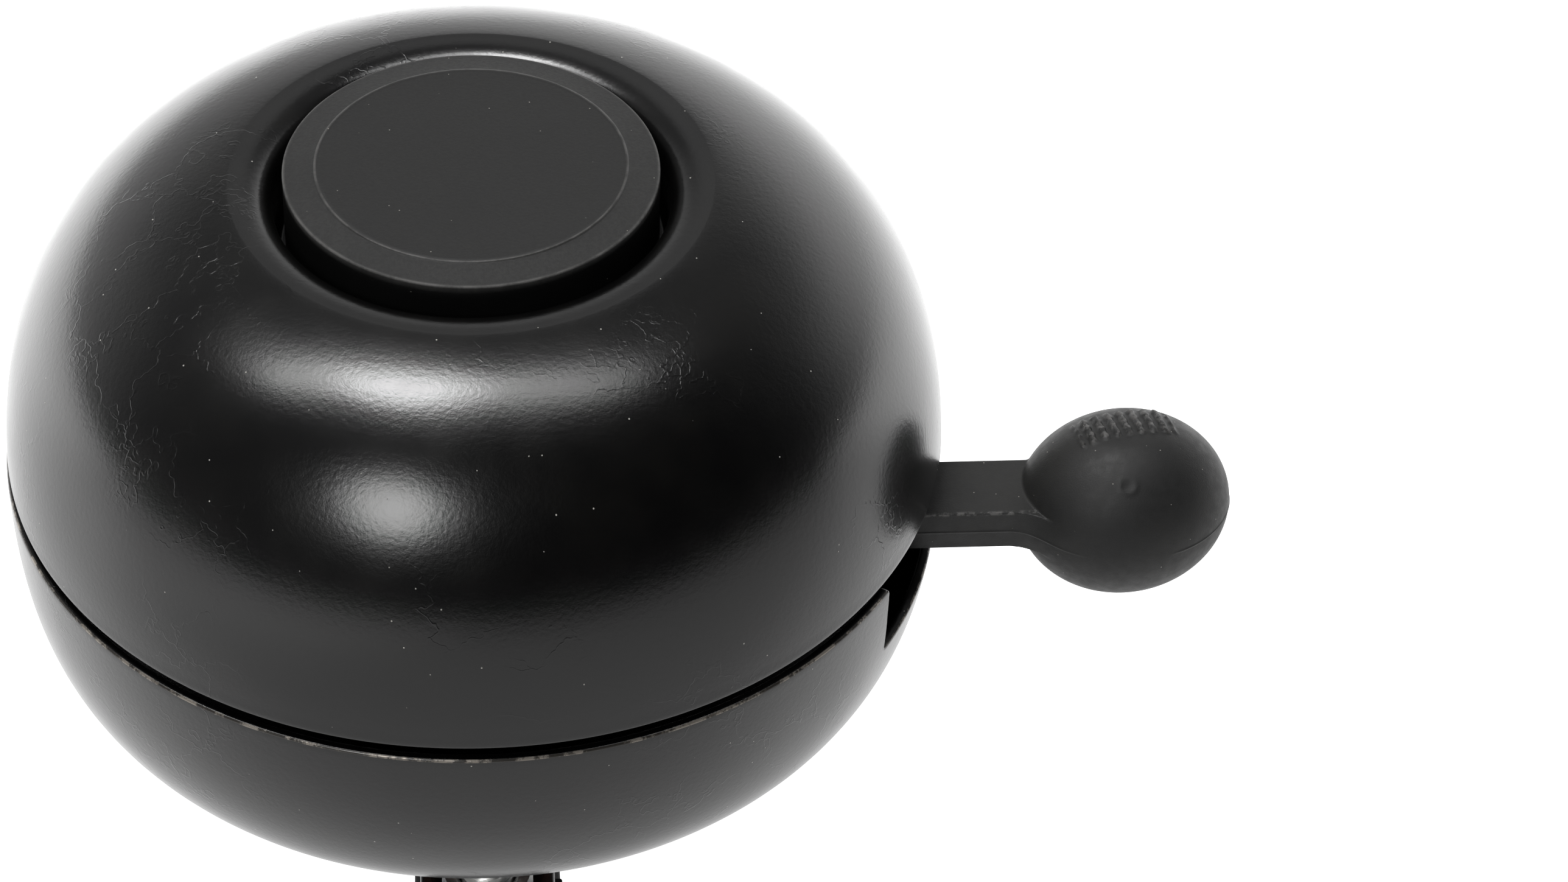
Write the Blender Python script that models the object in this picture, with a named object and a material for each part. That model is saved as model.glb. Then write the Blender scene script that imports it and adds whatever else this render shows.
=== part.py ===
"""Two-tone bicycle bell: two steel bowls, a thumb lever and a geared hammer, on a handlebar clamp.

The handlebar runs along X through the origin. The bell's axis is Z, and the lever's arm points to +X.
Pushing the knob towards -Y turns the lever about Z. Its gear sector turns the hammer rocker the other
way: the upper head swings out to the upper bowl, and on release the lower head falls back on the
lower bowl. Sizes are in millimetres. Heights of the bell's own pieces count from the plane of the
upper bowl's rim, and those of the clamp from the handlebar's axis.
"""
import math

import bmesh
import bpy
from mathutils import Matrix, Vector

MM = 0.001

# Driving sizes
RIM_RADIUS = 40.0          # upper bowl, outside
RIM_HEIGHT = 44.0          # upper bowl's rim plane above the handlebar's axis
SHEET = 0.9                # bowls' steel sheet
GAP = 0.3                  # clearance between pieces that touch
BOWL_STEPS = 48            # facets round a bowl
ROUND_STEPS = 28           # facets round a small turned piece

# Bowls: outer outlines as cubic curves in (radius, height)
UPPER_CURVE = ((RIM_RADIUS, 0.0), (39.44, 24.23), (20.2, 26.25), (20.0, 26.25))
LIP_CURVE = ((20.0, 26.25), (17.6, 26.25), (16.45, 25.6), (16.35, 23.8))
RECESS_CURVE = ((16.3, 20.6), (16.25, 19.8), (16.2, 19.5), (15.75, 19.5))
RECESS_FLOOR = 19.5
LOWER_CURVE = ((40.18, -1.04), (40.18, -17.8), (36.65, -25.67), (14.0, -25.67))
LOWER_BOTTOM = -25.67
BOWL_HOLE = 3.6
NOTCH_AZIMUTH = (-33.5, -2.5)   # degrees
NOTCH_BOTTOM = -8.5

# Centre post and what is stacked on it
POST_RADIUS = 3.0
POST_TOP = 25.8
POST_BORE = POST_RADIUS + GAP
POST_HEAD_RADIUS = 5.5
POST_HEAD = (-31.3, -28.7)
PLATE = (-9.5, -8.3)
HUB = (-7.0, -2.9)
BUSH_RADIUS = 4.5

# Cap
CAP_RADIUS = 15.5
CAP_EDGE = 27.4
CAP_DISC_RADIUS = 12.9
CAP_TOP = 27.85
CAP_WALL = 1.5
CAP_FOOT = RECESS_FLOOR + GAP

# Thumb lever
ARM_Y = -7.0               # the arm's middle plane, off the bell's axis
ARM_WIDTH = 7.0
ARM = (-6.9, -2.94)
ARM_START = 6.0
ARM_END = 50.0
KNOB_CENTRE = (55.64, ARM_Y, -4.95)
KNOB_HALF_SIZES = (9.35, 8.0, 8.0)
KNOB_TURN = 10.0           # degrees
LEVER_TRAVEL = 16.0        # degrees, towards -Y

# Gears
MODULE = 1.0
SECTOR_TEETH = 24          # on the full circle
SECTOR_KEPT = (22, 23, 0, 1, 2)
PINION_TEETH = 10
ADDENDUM = 0.8
DEDENDUM = 1.0
TOOTH_SHARE = 0.45
PRESSURE_ANGLE = math.radians(20.0)
SECTOR_RADIUS = MODULE * SECTOR_TEETH / 2
PINION_RADIUS = MODULE * PINION_TEETH / 2
HAMMER_X = -(SECTOR_RADIUS + PINION_RADIUS)
HAMMER_TRAVEL = LEVER_TRAVEL * SECTOR_TEETH / PINION_TEETH

# Hammer
PINION = (-7.2, -2.9)
BOSS_TOP = 1.6
BOSS_HALF_SIDE = 2.3
PIN_RADIUS = 1.5
LOWER_ARM = (-2.6, -1.5)
UPPER_ARM = (0.0, 1.1)
HAMMER_REACH = 20.0
HEAD_RADIUS = 3.5
HEAD_LENGTH = 6.0
RIVET_RADIUS = 1.3
STRIKE_CLEARANCE = 0.45
UPPER_WALL = 38.2          # upper bowl's inner radius at the top of its hammer head
LOWER_WALL = 38.85         # lower bowl's inner radius at the bottom of its hammer head

# Return spring
SPRING_RADIUS = 6.3
WIRE_RADIUS = 0.45
SPRING_START = 60.0        # degrees
SPRING_TURNS = 3 + 5 / 6   # ends on the +X side
SPRING_HEIGHTS = (-0.4, 4.2)
SPRING_HOLE_RADIUS = 8.8
ANCHOR = (8.05, 10.5)

# Lever stops
STUD_RADIUS = 1.1
BUMPER_RADIUS = 2.2
REST_STUD_X = 17.5
PRESS_STUD_X = 15.0

# Handlebar clamp
BAR_RADIUS = 11.1
LINER_RADIUS = 12.0
BAND_RADIUS = 12.9         # middle of the strap
BAND_THICKNESS = 1.4
BAND_WIDTH = 12.0
PLATFORM = 16.3            # middle of the strap's raised flat
PLATFORM_HALF = 7.5
EAR_END = -25.5
EAR_HEIGHT = 3.2
SCREW_Y = -19.3
SCREW_RADIUS = 2.4


# ---------------------------------------------------------------- helpers

def clear_scene():
    for item in list(bpy.data.objects):
        bpy.data.objects.remove(item, do_unlink=True)


def finish(name, colour, roughness, metallic):
    made = bpy.data.materials.new(name)
    made.use_nodes = True
    shader = made.node_tree.nodes["Principled BSDF"]
    shader.inputs["Base Color"].default_value = (*colour, 1.0)
    shader.inputs["Roughness"].default_value = roughness
    shader.inputs["Metallic"].default_value = metallic
    return made


def black_paint():
    return finish("black_paint", (0.012, 0.012, 0.012), 0.35, 0.0)


def black_plastic():
    return finish("black_plastic", (0.022, 0.022, 0.022), 0.55, 0.0)


def zinc_steel():
    return finish("zinc_steel", (0.55, 0.56, 0.58), 0.35, 1.0)


def fibre():
    return finish("fibre", (0.35, 0.12, 0.06), 0.8, 0.0)


def spring_steel():
    return finish("spring_steel", (0.3, 0.31, 0.33), 0.3, 1.0)


def rubber():
    return finish("rubber", (0.015, 0.015, 0.015), 0.9, 0.0)


def axis_empty(name, x, z):
    """A parent whose origin lies on an axis, x along the bell and z above the handlebar's axis."""
    empty = bpy.data.objects.new(name, None)
    empty.location = (x * MM, 0.0, z * MM)
    bpy.context.scene.collection.objects.link(empty)
    return empty


def place(name, mesh, parent, look, smooth=30.0):
    mesh.shade_smooth()
    mesh.set_sharp_from_angle(angle=math.radians(smooth))
    piece = bpy.data.objects.new(name, mesh)
    piece.parent = parent
    bpy.context.scene.collection.objects.link(piece)
    piece.data.materials.append(look)
    return piece


def to_mesh(name, bm):
    bmesh.ops.recalc_face_normals(bm, faces=bm.faces)
    bmesh.ops.scale(bm, verts=bm.verts, vec=(MM, MM, MM))
    mesh = bpy.data.meshes.new(name)
    bm.to_mesh(mesh)
    bm.free()
    return mesh


def turned_mesh(name, outline, steps, centre=(0.0, 0.0)):
    """Spin an outline of (radius, height) points about Z. Its two ends lie on the axis or meet."""
    bm = bmesh.new()
    corners = [bm.verts.new((radius, 0.0, height)) for radius, height in outline]
    edges = [bm.edges.new(pair) for pair in zip(corners, corners[1:])]
    if outline[0][0] > 0:
        edges.append(bm.edges.new((corners[-1], corners[0])))
    bmesh.ops.spin(bm, geom=corners + edges, axis=(0, 0, 1), cent=(0, 0, 0), angle=math.tau,
                   steps=steps, use_merge=True)
    bmesh.ops.remove_doubles(bm, verts=bm.verts, dist=1e-4)
    bmesh.ops.translate(bm, verts=bm.verts, vec=(*centre, 0.0))
    return to_mesh(name, bm)


def ring_mesh(name, inner, outer, low, high, centre=(0.0, 0.0), steps=ROUND_STEPS):
    outline = [(inner, high), (outer, high), (outer, low), (inner, low)]
    return turned_mesh(name, outline, steps, centre)


def disc_mesh(name, radius, low, high, centre=(0.0, 0.0), steps=ROUND_STEPS):
    outline = [(0.0, high), (radius, high), (radius, low), (0.0, low)]
    return turned_mesh(name, outline, steps, centre)


def extruded_mesh(name, outline, low, high):
    """A flat outline of (x, y) points, raised from low to high along Z."""
    bm = bmesh.new()
    face = bm.faces.new([bm.verts.new((x, y, low)) for x, y in outline])
    raised = bmesh.ops.extrude_face_region(bm, geom=[face])
    top = [item for item in raised["geom"] if isinstance(item, bmesh.types.BMVert)]
    bmesh.ops.translate(bm, verts=top, vec=(0.0, 0.0, high - low))
    return to_mesh(name, bm)


def combine(piece, mesh, operation):
    """Add or take away a second shape, which stays as a hidden guide."""
    guide = bpy.data.objects.new("guide_" + mesh.name, mesh)
    guide.parent = piece.parent
    guide.hide_render = True
    guide.display_type = "WIRE"
    bpy.context.scene.collection.objects.link(guide)
    step = piece.modifiers.new(mesh.name, "BOOLEAN")
    step.operation = operation
    step.object = guide
    step.solver = "EXACT"


def cut(piece, mesh):
    combine(piece, mesh, "DIFFERENCE")


def unite(piece, mesh):
    combine(piece, mesh, "UNION")


def polar(radius, degrees):
    angle = math.radians(degrees)
    return radius * math.cos(angle), radius * math.sin(angle)


def arc(radius, first, last, steps, centre=(0.0, 0.0)):
    turns = [first + (last - first) * k / steps for k in range(steps + 1)]
    return [(centre[0] + polar(radius, t)[0], centre[1] + polar(radius, t)[1]) for t in turns]


def cubic(curve, steps):
    points = []
    for k in range(steps + 1):
        t = k / steps
        weights = ((1 - t) ** 3, 3 * t * (1 - t) ** 2, 3 * t * t * (1 - t), t ** 3)
        points.append(tuple(sum(w * p[i] for w, p in zip(weights, curve)) for i in (0, 1)))
    return points


def offset_path(path, distance):
    """The path moved to the left of its direction by distance."""
    moved = []
    for k, point in enumerate(path):
        before = Vector(path[max(k - 1, 0)])
        after = Vector(path[min(k + 1, len(path) - 1)])
        along = (after - before).normalized()
        moved.append((point[0] - along.y * distance, point[1] + along.x * distance))
    return moved


# ---------------------------------------------------------------- bowls and cap

def make_upper_bowl(rim):
    outer = cubic(UPPER_CURVE, 9) + cubic(LIP_CURVE, 3)[1:] + cubic(RECESS_CURVE, 2)
    outer.append((BOWL_HOLE, RECESS_FLOOR))
    inner = offset_path(outer, SHEET)
    inner[0] = (RIM_RADIUS - SHEET, 0.0)
    inner[-1] = (BOWL_HOLE, RECESS_FLOOR - SHEET)
    mesh = turned_mesh("upper_bowl", outer + inner[::-1], BOWL_STEPS)
    place("upper_bowl", mesh, rim, black_paint())


def make_lower_bowl(rim):
    outer = cubic(LOWER_CURVE, 9) + [(BOWL_HOLE, LOWER_BOTTOM)]
    inner = offset_path(outer, -SHEET)
    inner[0] = (outer[0][0] - SHEET, outer[0][1])
    inner[-1] = (BOWL_HOLE, LOWER_BOTTOM + SHEET)
    bowl = place("lower_bowl", turned_mesh("lower_bowl", outer + inner[::-1], BOWL_STEPS), rim,
                 black_paint())
    reach_in = RIM_RADIUS - 6.0
    reach_out = RIM_RADIUS + 6.0
    wedge = arc(reach_in, *NOTCH_AZIMUTH, 6) + arc(reach_out, *NOTCH_AZIMUTH, 6)[::-1]
    cut(bowl, extruded_mesh("notch", wedge, NOTCH_BOTTOM, 1.0))


def make_cap(rim):
    roof = CAP_TOP - 1.45
    inside = CAP_RADIUS - CAP_WALL
    collar_inner = 6.8
    collar_outer = 8.2
    collar_foot = 20.8
    outline = [
        (0.0, CAP_TOP), (CAP_DISC_RADIUS, CAP_TOP), (CAP_RADIUS - 0.3, CAP_EDGE),
        (CAP_RADIUS, CAP_EDGE - 0.3), (CAP_RADIUS, CAP_FOOT), (inside, CAP_FOOT),
        (inside, roof), (collar_outer, roof), (collar_outer, collar_foot),
        (collar_inner, collar_foot), (collar_inner, roof), (0.0, roof),
    ]
    place("top_cap", turned_mesh("top_cap", outline, 48), rim, black_plastic())


# ---------------------------------------------------------------- centre stack

def make_post(rim):
    outline = [
        (0.0, POST_TOP), (POST_RADIUS - 0.4, POST_TOP), (POST_RADIUS, POST_TOP - 0.4),
        (POST_RADIUS, POST_HEAD[1]), (POST_HEAD_RADIUS, POST_HEAD[1]),
        (POST_HEAD_RADIUS, POST_HEAD[0] + 0.5), (POST_HEAD_RADIUS - 0.5, POST_HEAD[0]),
        (0.0, POST_HEAD[0]),
    ]
    place("centre_post", turned_mesh("centre_post", outline, ROUND_STEPS), rim, zinc_steel())


def make_nut(name, parent, look, sides, flats, bore, low, high, centre=(0.0, 0.0), turn=0.0):
    """A nut with that many sides, flats across, drawn about its centre."""
    corner = flats / 2 / math.cos(math.pi / sides)
    outline = arc(corner, turn, turn + 360.0, sides, centre)[:-1]
    nut = place(name, extruded_mesh(name, outline, low, high), parent, look)
    cut(nut, disc_mesh(name + "_bore", bore, low - 1.0, high + 1.0, centre))


def make_stack(rim):
    """Washers, tubes and the nut on the post, each as (name, outer radius, low, high, look)."""
    floor_under = RECESS_FLOOR - SHEET
    bottom_over = LOWER_BOTTOM + SHEET
    rings = (
        ("lower_bowl_seat_bottom", 9.0, LOWER_BOTTOM - 1.1, LOWER_BOTTOM - GAP, fibre()),
        ("lower_bowl_seat_top", 9.0, bottom_over + GAP, bottom_over + 1.1, fibre()),
        ("lower_spacer", 5.5, bottom_over + 1.4, PLATE[0] - GAP, zinc_steel()),
        ("lever_bush", BUSH_RADIUS, PLATE[1] + GAP, -2.35, zinc_steel()),
        ("lever_retainer", 7.5, -2.05, -1.25, zinc_steel()),
        ("upper_spacer", 4.8, -0.95, floor_under - 1.3, zinc_steel()),
        ("upper_bowl_seat_bottom", 8.0, floor_under - 1.0, floor_under - GAP, fibre()),
        ("upper_bowl_seat_top", 6.5, RECESS_FLOOR + GAP, RECESS_FLOOR + 1.0, fibre()),
        ("top_washer", 6.4, RECESS_FLOOR + 1.3, RECESS_FLOOR + 2.1, zinc_steel()),
    )
    for name, outer, low, high, look in rings:
        place(name, ring_mesh(name, POST_BORE, outer, low, high), rim, look)
    thrust_low = PLATE[1] + GAP
    place("thrust_washer", ring_mesh("thrust_washer", BUSH_RADIUS + GAP, 8.0, thrust_low,
                                     HUB[0] - GAP), rim, black_plastic())
    nut_low = RECESS_FLOOR + 2.4
    make_nut("top_nut", rim, zinc_steel(), 6, 10.0, POST_BORE, nut_low, nut_low + 3.2)


def stud_places():
    """The rest stop's and the press stop's centres, each a gap away from the arm's side."""
    beside = ARM_WIDTH / 2 + GAP + BUMPER_RADIUS
    rest = (REST_STUD_X, ARM_Y + beside)
    turn = math.radians(-LEVER_TRAVEL)
    x = PRESS_STUD_X
    y = ARM_Y - beside
    press = (x * math.cos(turn) - y * math.sin(turn), x * math.sin(turn) + y * math.cos(turn))
    return rest, press


def make_plate(rim):
    """Stamped carrier with the lever's two stop studs and the spring's anchor on it."""
    plate = place("mechanism_plate", disc_mesh("mechanism_plate", 22.0, *PLATE, steps=40), rim,
                  zinc_steel())
    low = PLATE[0] - 1.0
    high = PLATE[1] + 1.0
    cut(plate, disc_mesh("plate_post_hole", POST_BORE, low, high))
    cut(plate, disc_mesh("plate_pin_hole", PIN_RADIUS + GAP, low, high, (HAMMER_X, 0.0), 16))
    for count, azimuth in enumerate((20.0, 90.0, 140.0, 220.0, 265.0)):
        cut(plate, disc_mesh(f"plate_window_{count}", 4.2, low, high, polar(14.5, azimuth), 20))
    inside_plate = (PLATE[0] + PLATE[1]) / 2
    for count, centre in enumerate(stud_places()):
        stud = disc_mesh(f"stop_stud_{count}", STUD_RADIUS, inside_plate, -2.3, centre, 16)
        unite(plate, stud)
    anchor_top = SPRING_HEIGHTS[1] + 1.5
    unite(plate, disc_mesh("spring_anchor", 1.0, inside_plate, anchor_top, ANCHOR, 16))


def make_bumpers(rim):
    for name, centre in zip(("rest_bumper", "press_bumper"), stud_places()):
        mesh = ring_mesh(name, STUD_RADIUS + GAP, BUMPER_RADIUS, PLATE[1] + GAP, -2.6, centre, 20)
        place(name, mesh, rim, rubber())


# ---------------------------------------------------------------- gears and lever

def involute(angle):
    return math.tan(angle) - angle


def half_tooth(radius, teeth, pitch_radius):
    """Half of a tooth's angle at a radius; straight below the base circle."""
    base = pitch_radius * math.cos(PRESSURE_ANGLE)
    slope = math.acos(base / max(radius, base))
    return math.pi * TOOTH_SHARE / teeth + involute(PRESSURE_ANGLE) - involute(slope)


def gear_outline(teeth, kept, first, centre=(0.0, 0.0)):
    """Teeth in kept, counted from the one at angle first; plain root circle elsewhere."""
    pitch_radius = MODULE * teeth / 2
    root = pitch_radius - DEDENDUM
    tip = pitch_radius + ADDENDUM
    radii = [root + (tip - root) * k / 4 for k in range(5)]
    points = []
    for count in range(teeth):
        middle = math.radians(first) + math.tau * count / teeth
        if count in kept:
            spread = [(r, half_tooth(r, teeth, pitch_radius)) for r in radii]
            points += [(r, middle - half) for r, half in spread]
            points += [(r, middle + half) for r, half in reversed(spread)]
        else:
            points += [(root, middle + math.tau * k / teeth / 3) for k in range(3)]
    return [(centre[0] + r * math.cos(a), centre[1] + r * math.sin(a)) for r, a in points]


def knob_mesh():
    bm = bmesh.new()
    bmesh.ops.create_uvsphere(bm, u_segments=28, v_segments=16, radius=1.0)
    size = Matrix.Diagonal((*KNOB_HALF_SIZES, 1.0))
    turn = Matrix.Rotation(math.radians(KNOB_TURN), 4, "Z")
    bmesh.ops.transform(bm, matrix=Matrix.Translation(KNOB_CENTRE) @ turn @ size, verts=bm.verts)
    return to_mesh("knob", bm)


def make_lever(axis):
    """One moulding: hub with the gear sector, arm and knob."""
    half_pitch = 180.0 / SECTOR_TEETH
    outline = gear_outline(SECTOR_TEETH, SECTOR_KEPT, 180.0 + half_pitch)
    lever = place("thumb_lever", extruded_mesh("thumb_lever", outline, *HUB), axis, black_plastic())
    near = ARM_Y + ARM_WIDTH / 2
    far = ARM_Y - ARM_WIDTH / 2
    arm = [(ARM_START, far), (ARM_END, far), (ARM_END, near), (ARM_START, near)]
    unite(lever, extruded_mesh("lever_arm", arm, *ARM))
    unite(lever, knob_mesh())
    cut(lever, disc_mesh("lever_bore", BUSH_RADIUS + 0.25, HUB[0] - 1.0, HUB[1] + 1.0))
    socket = polar(SPRING_HOLE_RADIUS, SPRING_START)
    cut(lever, disc_mesh("spring_socket", WIRE_RADIUS + GAP, HUB[0] - 1.0, HUB[1] + 1.0, socket, 12))


def make_spring(rim):
    """Torsion spring: one leg in the hub's socket, the coil round the post, one leg on the anchor."""
    low, high = SPRING_HEIGHTS
    steps = round(SPRING_TURNS * 16)
    foot = polar(SPRING_HOLE_RADIUS, SPRING_START)
    bend = 0.5
    foot_bend = polar(SPRING_HOLE_RADIUS - bend, SPRING_START)
    path = [(*foot, HUB[0] + 1.5), (*foot, low - bend), (*foot_bend, low)]
    for k in range(steps + 1):
        turned = SPRING_TURNS * k / steps
        x, y = polar(SPRING_RADIUS, SPRING_START + 360.0 * turned)
        path.append((x, y, low + (high - low) * k / steps))
    path.append((SPRING_RADIUS, ANCHOR[1] + 2.0, high))
    curve = bpy.data.curves.new("return_spring", "CURVE")
    curve.dimensions = "3D"
    curve.bevel_depth = WIRE_RADIUS * MM
    curve.bevel_resolution = 1
    curve.use_fill_caps = True
    line = curve.splines.new("POLY")
    line.points.add(len(path) - 1)
    for point, spot in zip(line.points, path):
        point.co = (spot[0] * MM, spot[1] * MM, spot[2] * MM, 1.0)
    spring = bpy.data.objects.new("return_spring", curve)
    spring.parent = rim
    bpy.context.scene.collection.objects.link(spring)
    curve.materials.append(spring_steel())


# ---------------------------------------------------------------- hammer

def strike_azimuth(wall):
    """Angle about the hammer's pin at which a head stands a clearance away from a wall."""
    reach = wall - HEAD_RADIUS - STRIKE_CLEARANCE
    cosine = (reach ** 2 - HAMMER_X ** 2 - HAMMER_REACH ** 2) / (2 * HAMMER_X * HAMMER_REACH)
    return math.degrees(math.acos(cosine))


def square(half, centre=(0.0, 0.0)):
    return [(centre[0] + x * half, centre[1] + y * half) for x, y in
            ((-1, -1), (1, -1), (1, 1), (-1, 1))]


def link_outline(azimuth, eye, end, neck, length):
    """A flat link from a round eye at the origin to a round end, turned to an azimuth."""
    eye_side = math.degrees(math.asin(neck / eye))
    end_side = math.degrees(math.asin(neck / end))
    points = arc(eye, eye_side, 360.0 - eye_side, 18)
    points += arc(end, end_side - 180.0, 180.0 - end_side, 12, (length, 0.0))
    turn = Matrix.Rotation(math.radians(azimuth), 2)
    return [tuple(turn @ Vector(point)) for point in points]


def make_rocker(axis):
    outline = gear_outline(PINION_TEETH, range(PINION_TEETH), 0.0)
    rocker = place("hammer_rocker", extruded_mesh("hammer_rocker", outline, *PINION), axis,
                   black_plastic())
    unite(rocker, extruded_mesh("rocker_boss", square(BOSS_HALF_SIDE), PINION[1] - 1.0, BOSS_TOP))
    bore = disc_mesh("rocker_bore", PIN_RADIUS + 0.25, PINION[0] - 1.0, BOSS_TOP + 1.0, steps=20)
    cut(rocker, bore)


def make_hammer(name, axis, azimuth, arm, head_up):
    """A spring-steel arm on the boss, and a steel head riveted to its end."""
    strip = place(name + "_arm", extruded_mesh(name + "_arm", link_outline(
        azimuth, 5.4, 2.6, 1.6, HAMMER_REACH), *arm), axis, spring_steel())
    low = arm[0] - 1.0
    high = arm[1] + 1.0
    end = polar(HAMMER_REACH, azimuth)
    cut(strip, extruded_mesh(name + "_eye", square(BOSS_HALF_SIDE + GAP), low, high))
    cut(strip, disc_mesh(name + "_rivet_hole", RIVET_RADIUS + GAP, low, high, end, 16))
    side = 1.0 if head_up else -1.0
    face = arm[1] + GAP if head_up else arm[0] - GAP
    back = arm[0] - GAP if head_up else arm[1] + GAP
    far = face + side * HEAD_LENGTH
    outline = [
        (0.0, far), (HEAD_RADIUS - 0.5, far), (HEAD_RADIUS, far - side * 0.5),
        (HEAD_RADIUS, face + side * 0.3), (HEAD_RADIUS - 0.3, face), (RIVET_RADIUS, face),
        (RIVET_RADIUS, back), (2.0, back), (1.5, back - side * 0.6), (0.0, back - side * 0.6),
    ]
    head = turned_mesh(name + "_head", outline, 24, end)
    place(name + "_head", head, axis, zinc_steel())


def make_hammers(axis):
    make_rocker(axis)
    upper_rest = strike_azimuth(UPPER_WALL) - HAMMER_TRAVEL
    lower_rest = 360.0 - strike_azimuth(LOWER_WALL)
    make_hammer("upper_hammer", axis, upper_rest, UPPER_ARM, True)
    make_hammer("lower_hammer", axis, lower_rest, LOWER_ARM, False)
    between = ring_mesh("arm_spacer", 3.6, 5.0, LOWER_ARM[1] + GAP, UPPER_ARM[0] - GAP)
    place("arm_spacer", between, axis, zinc_steel())


def make_pin(rim):
    """The rocker's pin, with its foot riveted under the plate, and the clip near its top."""
    centre = (HAMMER_X, 0.0)
    top = BOSS_TOP + 1.8
    foot = PLATE[0] - GAP
    outline = [
        (0.0, top), (PIN_RADIUS - 0.3, top), (PIN_RADIUS, top - 0.3), (PIN_RADIUS, foot),
        (2.8, foot), (2.4, foot - 0.8), (0.0, foot - 0.8),
    ]
    place("hammer_pin", turned_mesh("hammer_pin", outline, 20, centre), rim, zinc_steel())
    low = BOSS_TOP + GAP
    clip = ring_mesh("hammer_clip", PIN_RADIUS + 0.2, 3.3, low, low + 0.6, centre, 20)
    place("hammer_clip", clip, rim, spring_steel())


# ---------------------------------------------------------------- handlebar clamp

def across_bar(name, outline, half_width):
    """An outline in the YZ plane, drawn out along the handlebar."""
    mesh = extruded_mesh(name, outline, -half_width, half_width)
    lie_along_bar = Matrix(((0, 0, 1, 0), (1, 0, 0, 0), (0, 1, 0, 0), (0, 0, 0, 1)))
    mesh.transform(lie_along_bar)
    return mesh


def make_band(bar):
    """Strap round the handlebar: two ears at -Y and a raised flat that the post's head sits under."""
    shoulder = 40.0            # degrees up from the bar's sides, where the strap leaves the round
    ear_root = 162.0           # degrees, where the ears leave it
    bend = 1.5
    neck = [(-BAND_RADIUS - 0.2, EAR_HEIGHT + 0.6), (-BAND_RADIUS - 1.6, EAR_HEIGHT)]
    neck.append((EAR_END, EAR_HEIGHT))
    middle = neck[::-1] + arc(BAND_RADIUS, ear_root, 180.0 - shoulder, 3)
    middle += arc(bend, 170.0, 90.0, 4, (bend - PLATFORM_HALF, PLATFORM - bend))
    middle += arc(bend, 90.0, 10.0, 4, (PLATFORM_HALF - bend, PLATFORM - bend))
    middle += arc(BAND_RADIUS, shoulder, -ear_root, 26)
    middle += [(y, -z) for y, z in neck]
    half = BAND_THICKNESS / 2
    outline = offset_path(middle, half) + offset_path(middle, -half)[::-1]
    band = place("clamp_band", across_bar("clamp_band", outline, BAND_WIDTH / 2), bar, black_paint())
    cut(band, disc_mesh("band_post_hole", POST_BORE, PLATFORM - 2.0, PLATFORM + 2.0))
    cut(band, disc_mesh("band_screw_hole", SCREW_RADIUS + GAP, -8.0, 8.0, (0.0, SCREW_Y), 20))


def make_liner(bar):
    opening = 14.0
    outline = arc(LINER_RADIUS, 180.0 + opening, 540.0 - opening, 40)
    outline += arc(BAR_RADIUS, 540.0 - opening, 180.0 + opening, 40)
    place("clamp_liner", across_bar("clamp_liner", outline, BAND_WIDTH / 2 + 0.8), bar, rubber())


def make_screw(bar):
    centre = (0.0, SCREW_Y)
    ear_face = EAR_HEIGHT + BAND_THICKNESS / 2 + GAP
    head = 4.2
    head_face = -ear_face - 3.2
    tip = 10.0
    outline = [
        (0.0, tip), (SCREW_RADIUS - 0.4, tip), (SCREW_RADIUS, tip - 0.4), (SCREW_RADIUS, -ear_face),
        (head, -ear_face), (head, head_face + 1.0), (head - 1.2, head_face), (0.0, head_face),
    ]
    mesh = turned_mesh("clamp_screw", outline, 24, centre)
    screw = place("clamp_screw", mesh, bar, zinc_steel())
    half = 0.6
    across = head + 1.0
    slot = [(-across, SCREW_Y - half), (across, SCREW_Y - half), (across, SCREW_Y + half),
            (-across, SCREW_Y + half)]
    cut(screw, extruded_mesh("screw_slot", slot, head_face - 1.0, head_face + 1.2))
    make_nut("clamp_nut", bar, zinc_steel(), 4, 8.0, SCREW_RADIUS + GAP, ear_face, ear_face + 3.8,
             centre, 45.0)


def main():
    clear_scene()
    bar = axis_empty("handlebar_axis", 0.0, 0.0)
    rim = axis_empty("bell_axis", 0.0, RIM_HEIGHT)
    lever_axis = axis_empty("lever_axis", 0.0, RIM_HEIGHT)
    hammer_axis = axis_empty("hammer_axis", HAMMER_X, RIM_HEIGHT)
    make_upper_bowl(rim)
    make_lower_bowl(rim)
    make_cap(rim)
    make_post(rim)
    make_stack(rim)
    make_plate(rim)
    make_bumpers(rim)
    make_lever(lever_axis)
    make_spring(rim)
    make_hammers(hammer_axis)
    make_pin(rim)
    make_band(bar)
    make_liner(bar)
    make_screw(bar)


main()
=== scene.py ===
"""Visual model of a two-tone bicycle bell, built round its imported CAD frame.

Lengths are in millimetres and become metres when a mesh is made. The bell's own pieces count their
heights from the plane of the upper bowl's rim, the clamp's from the handlebar's axis, as the CAD does.
"""
import math

import bmesh
import bpy
import numpy as np
from mathutils import Matrix, Vector


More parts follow.
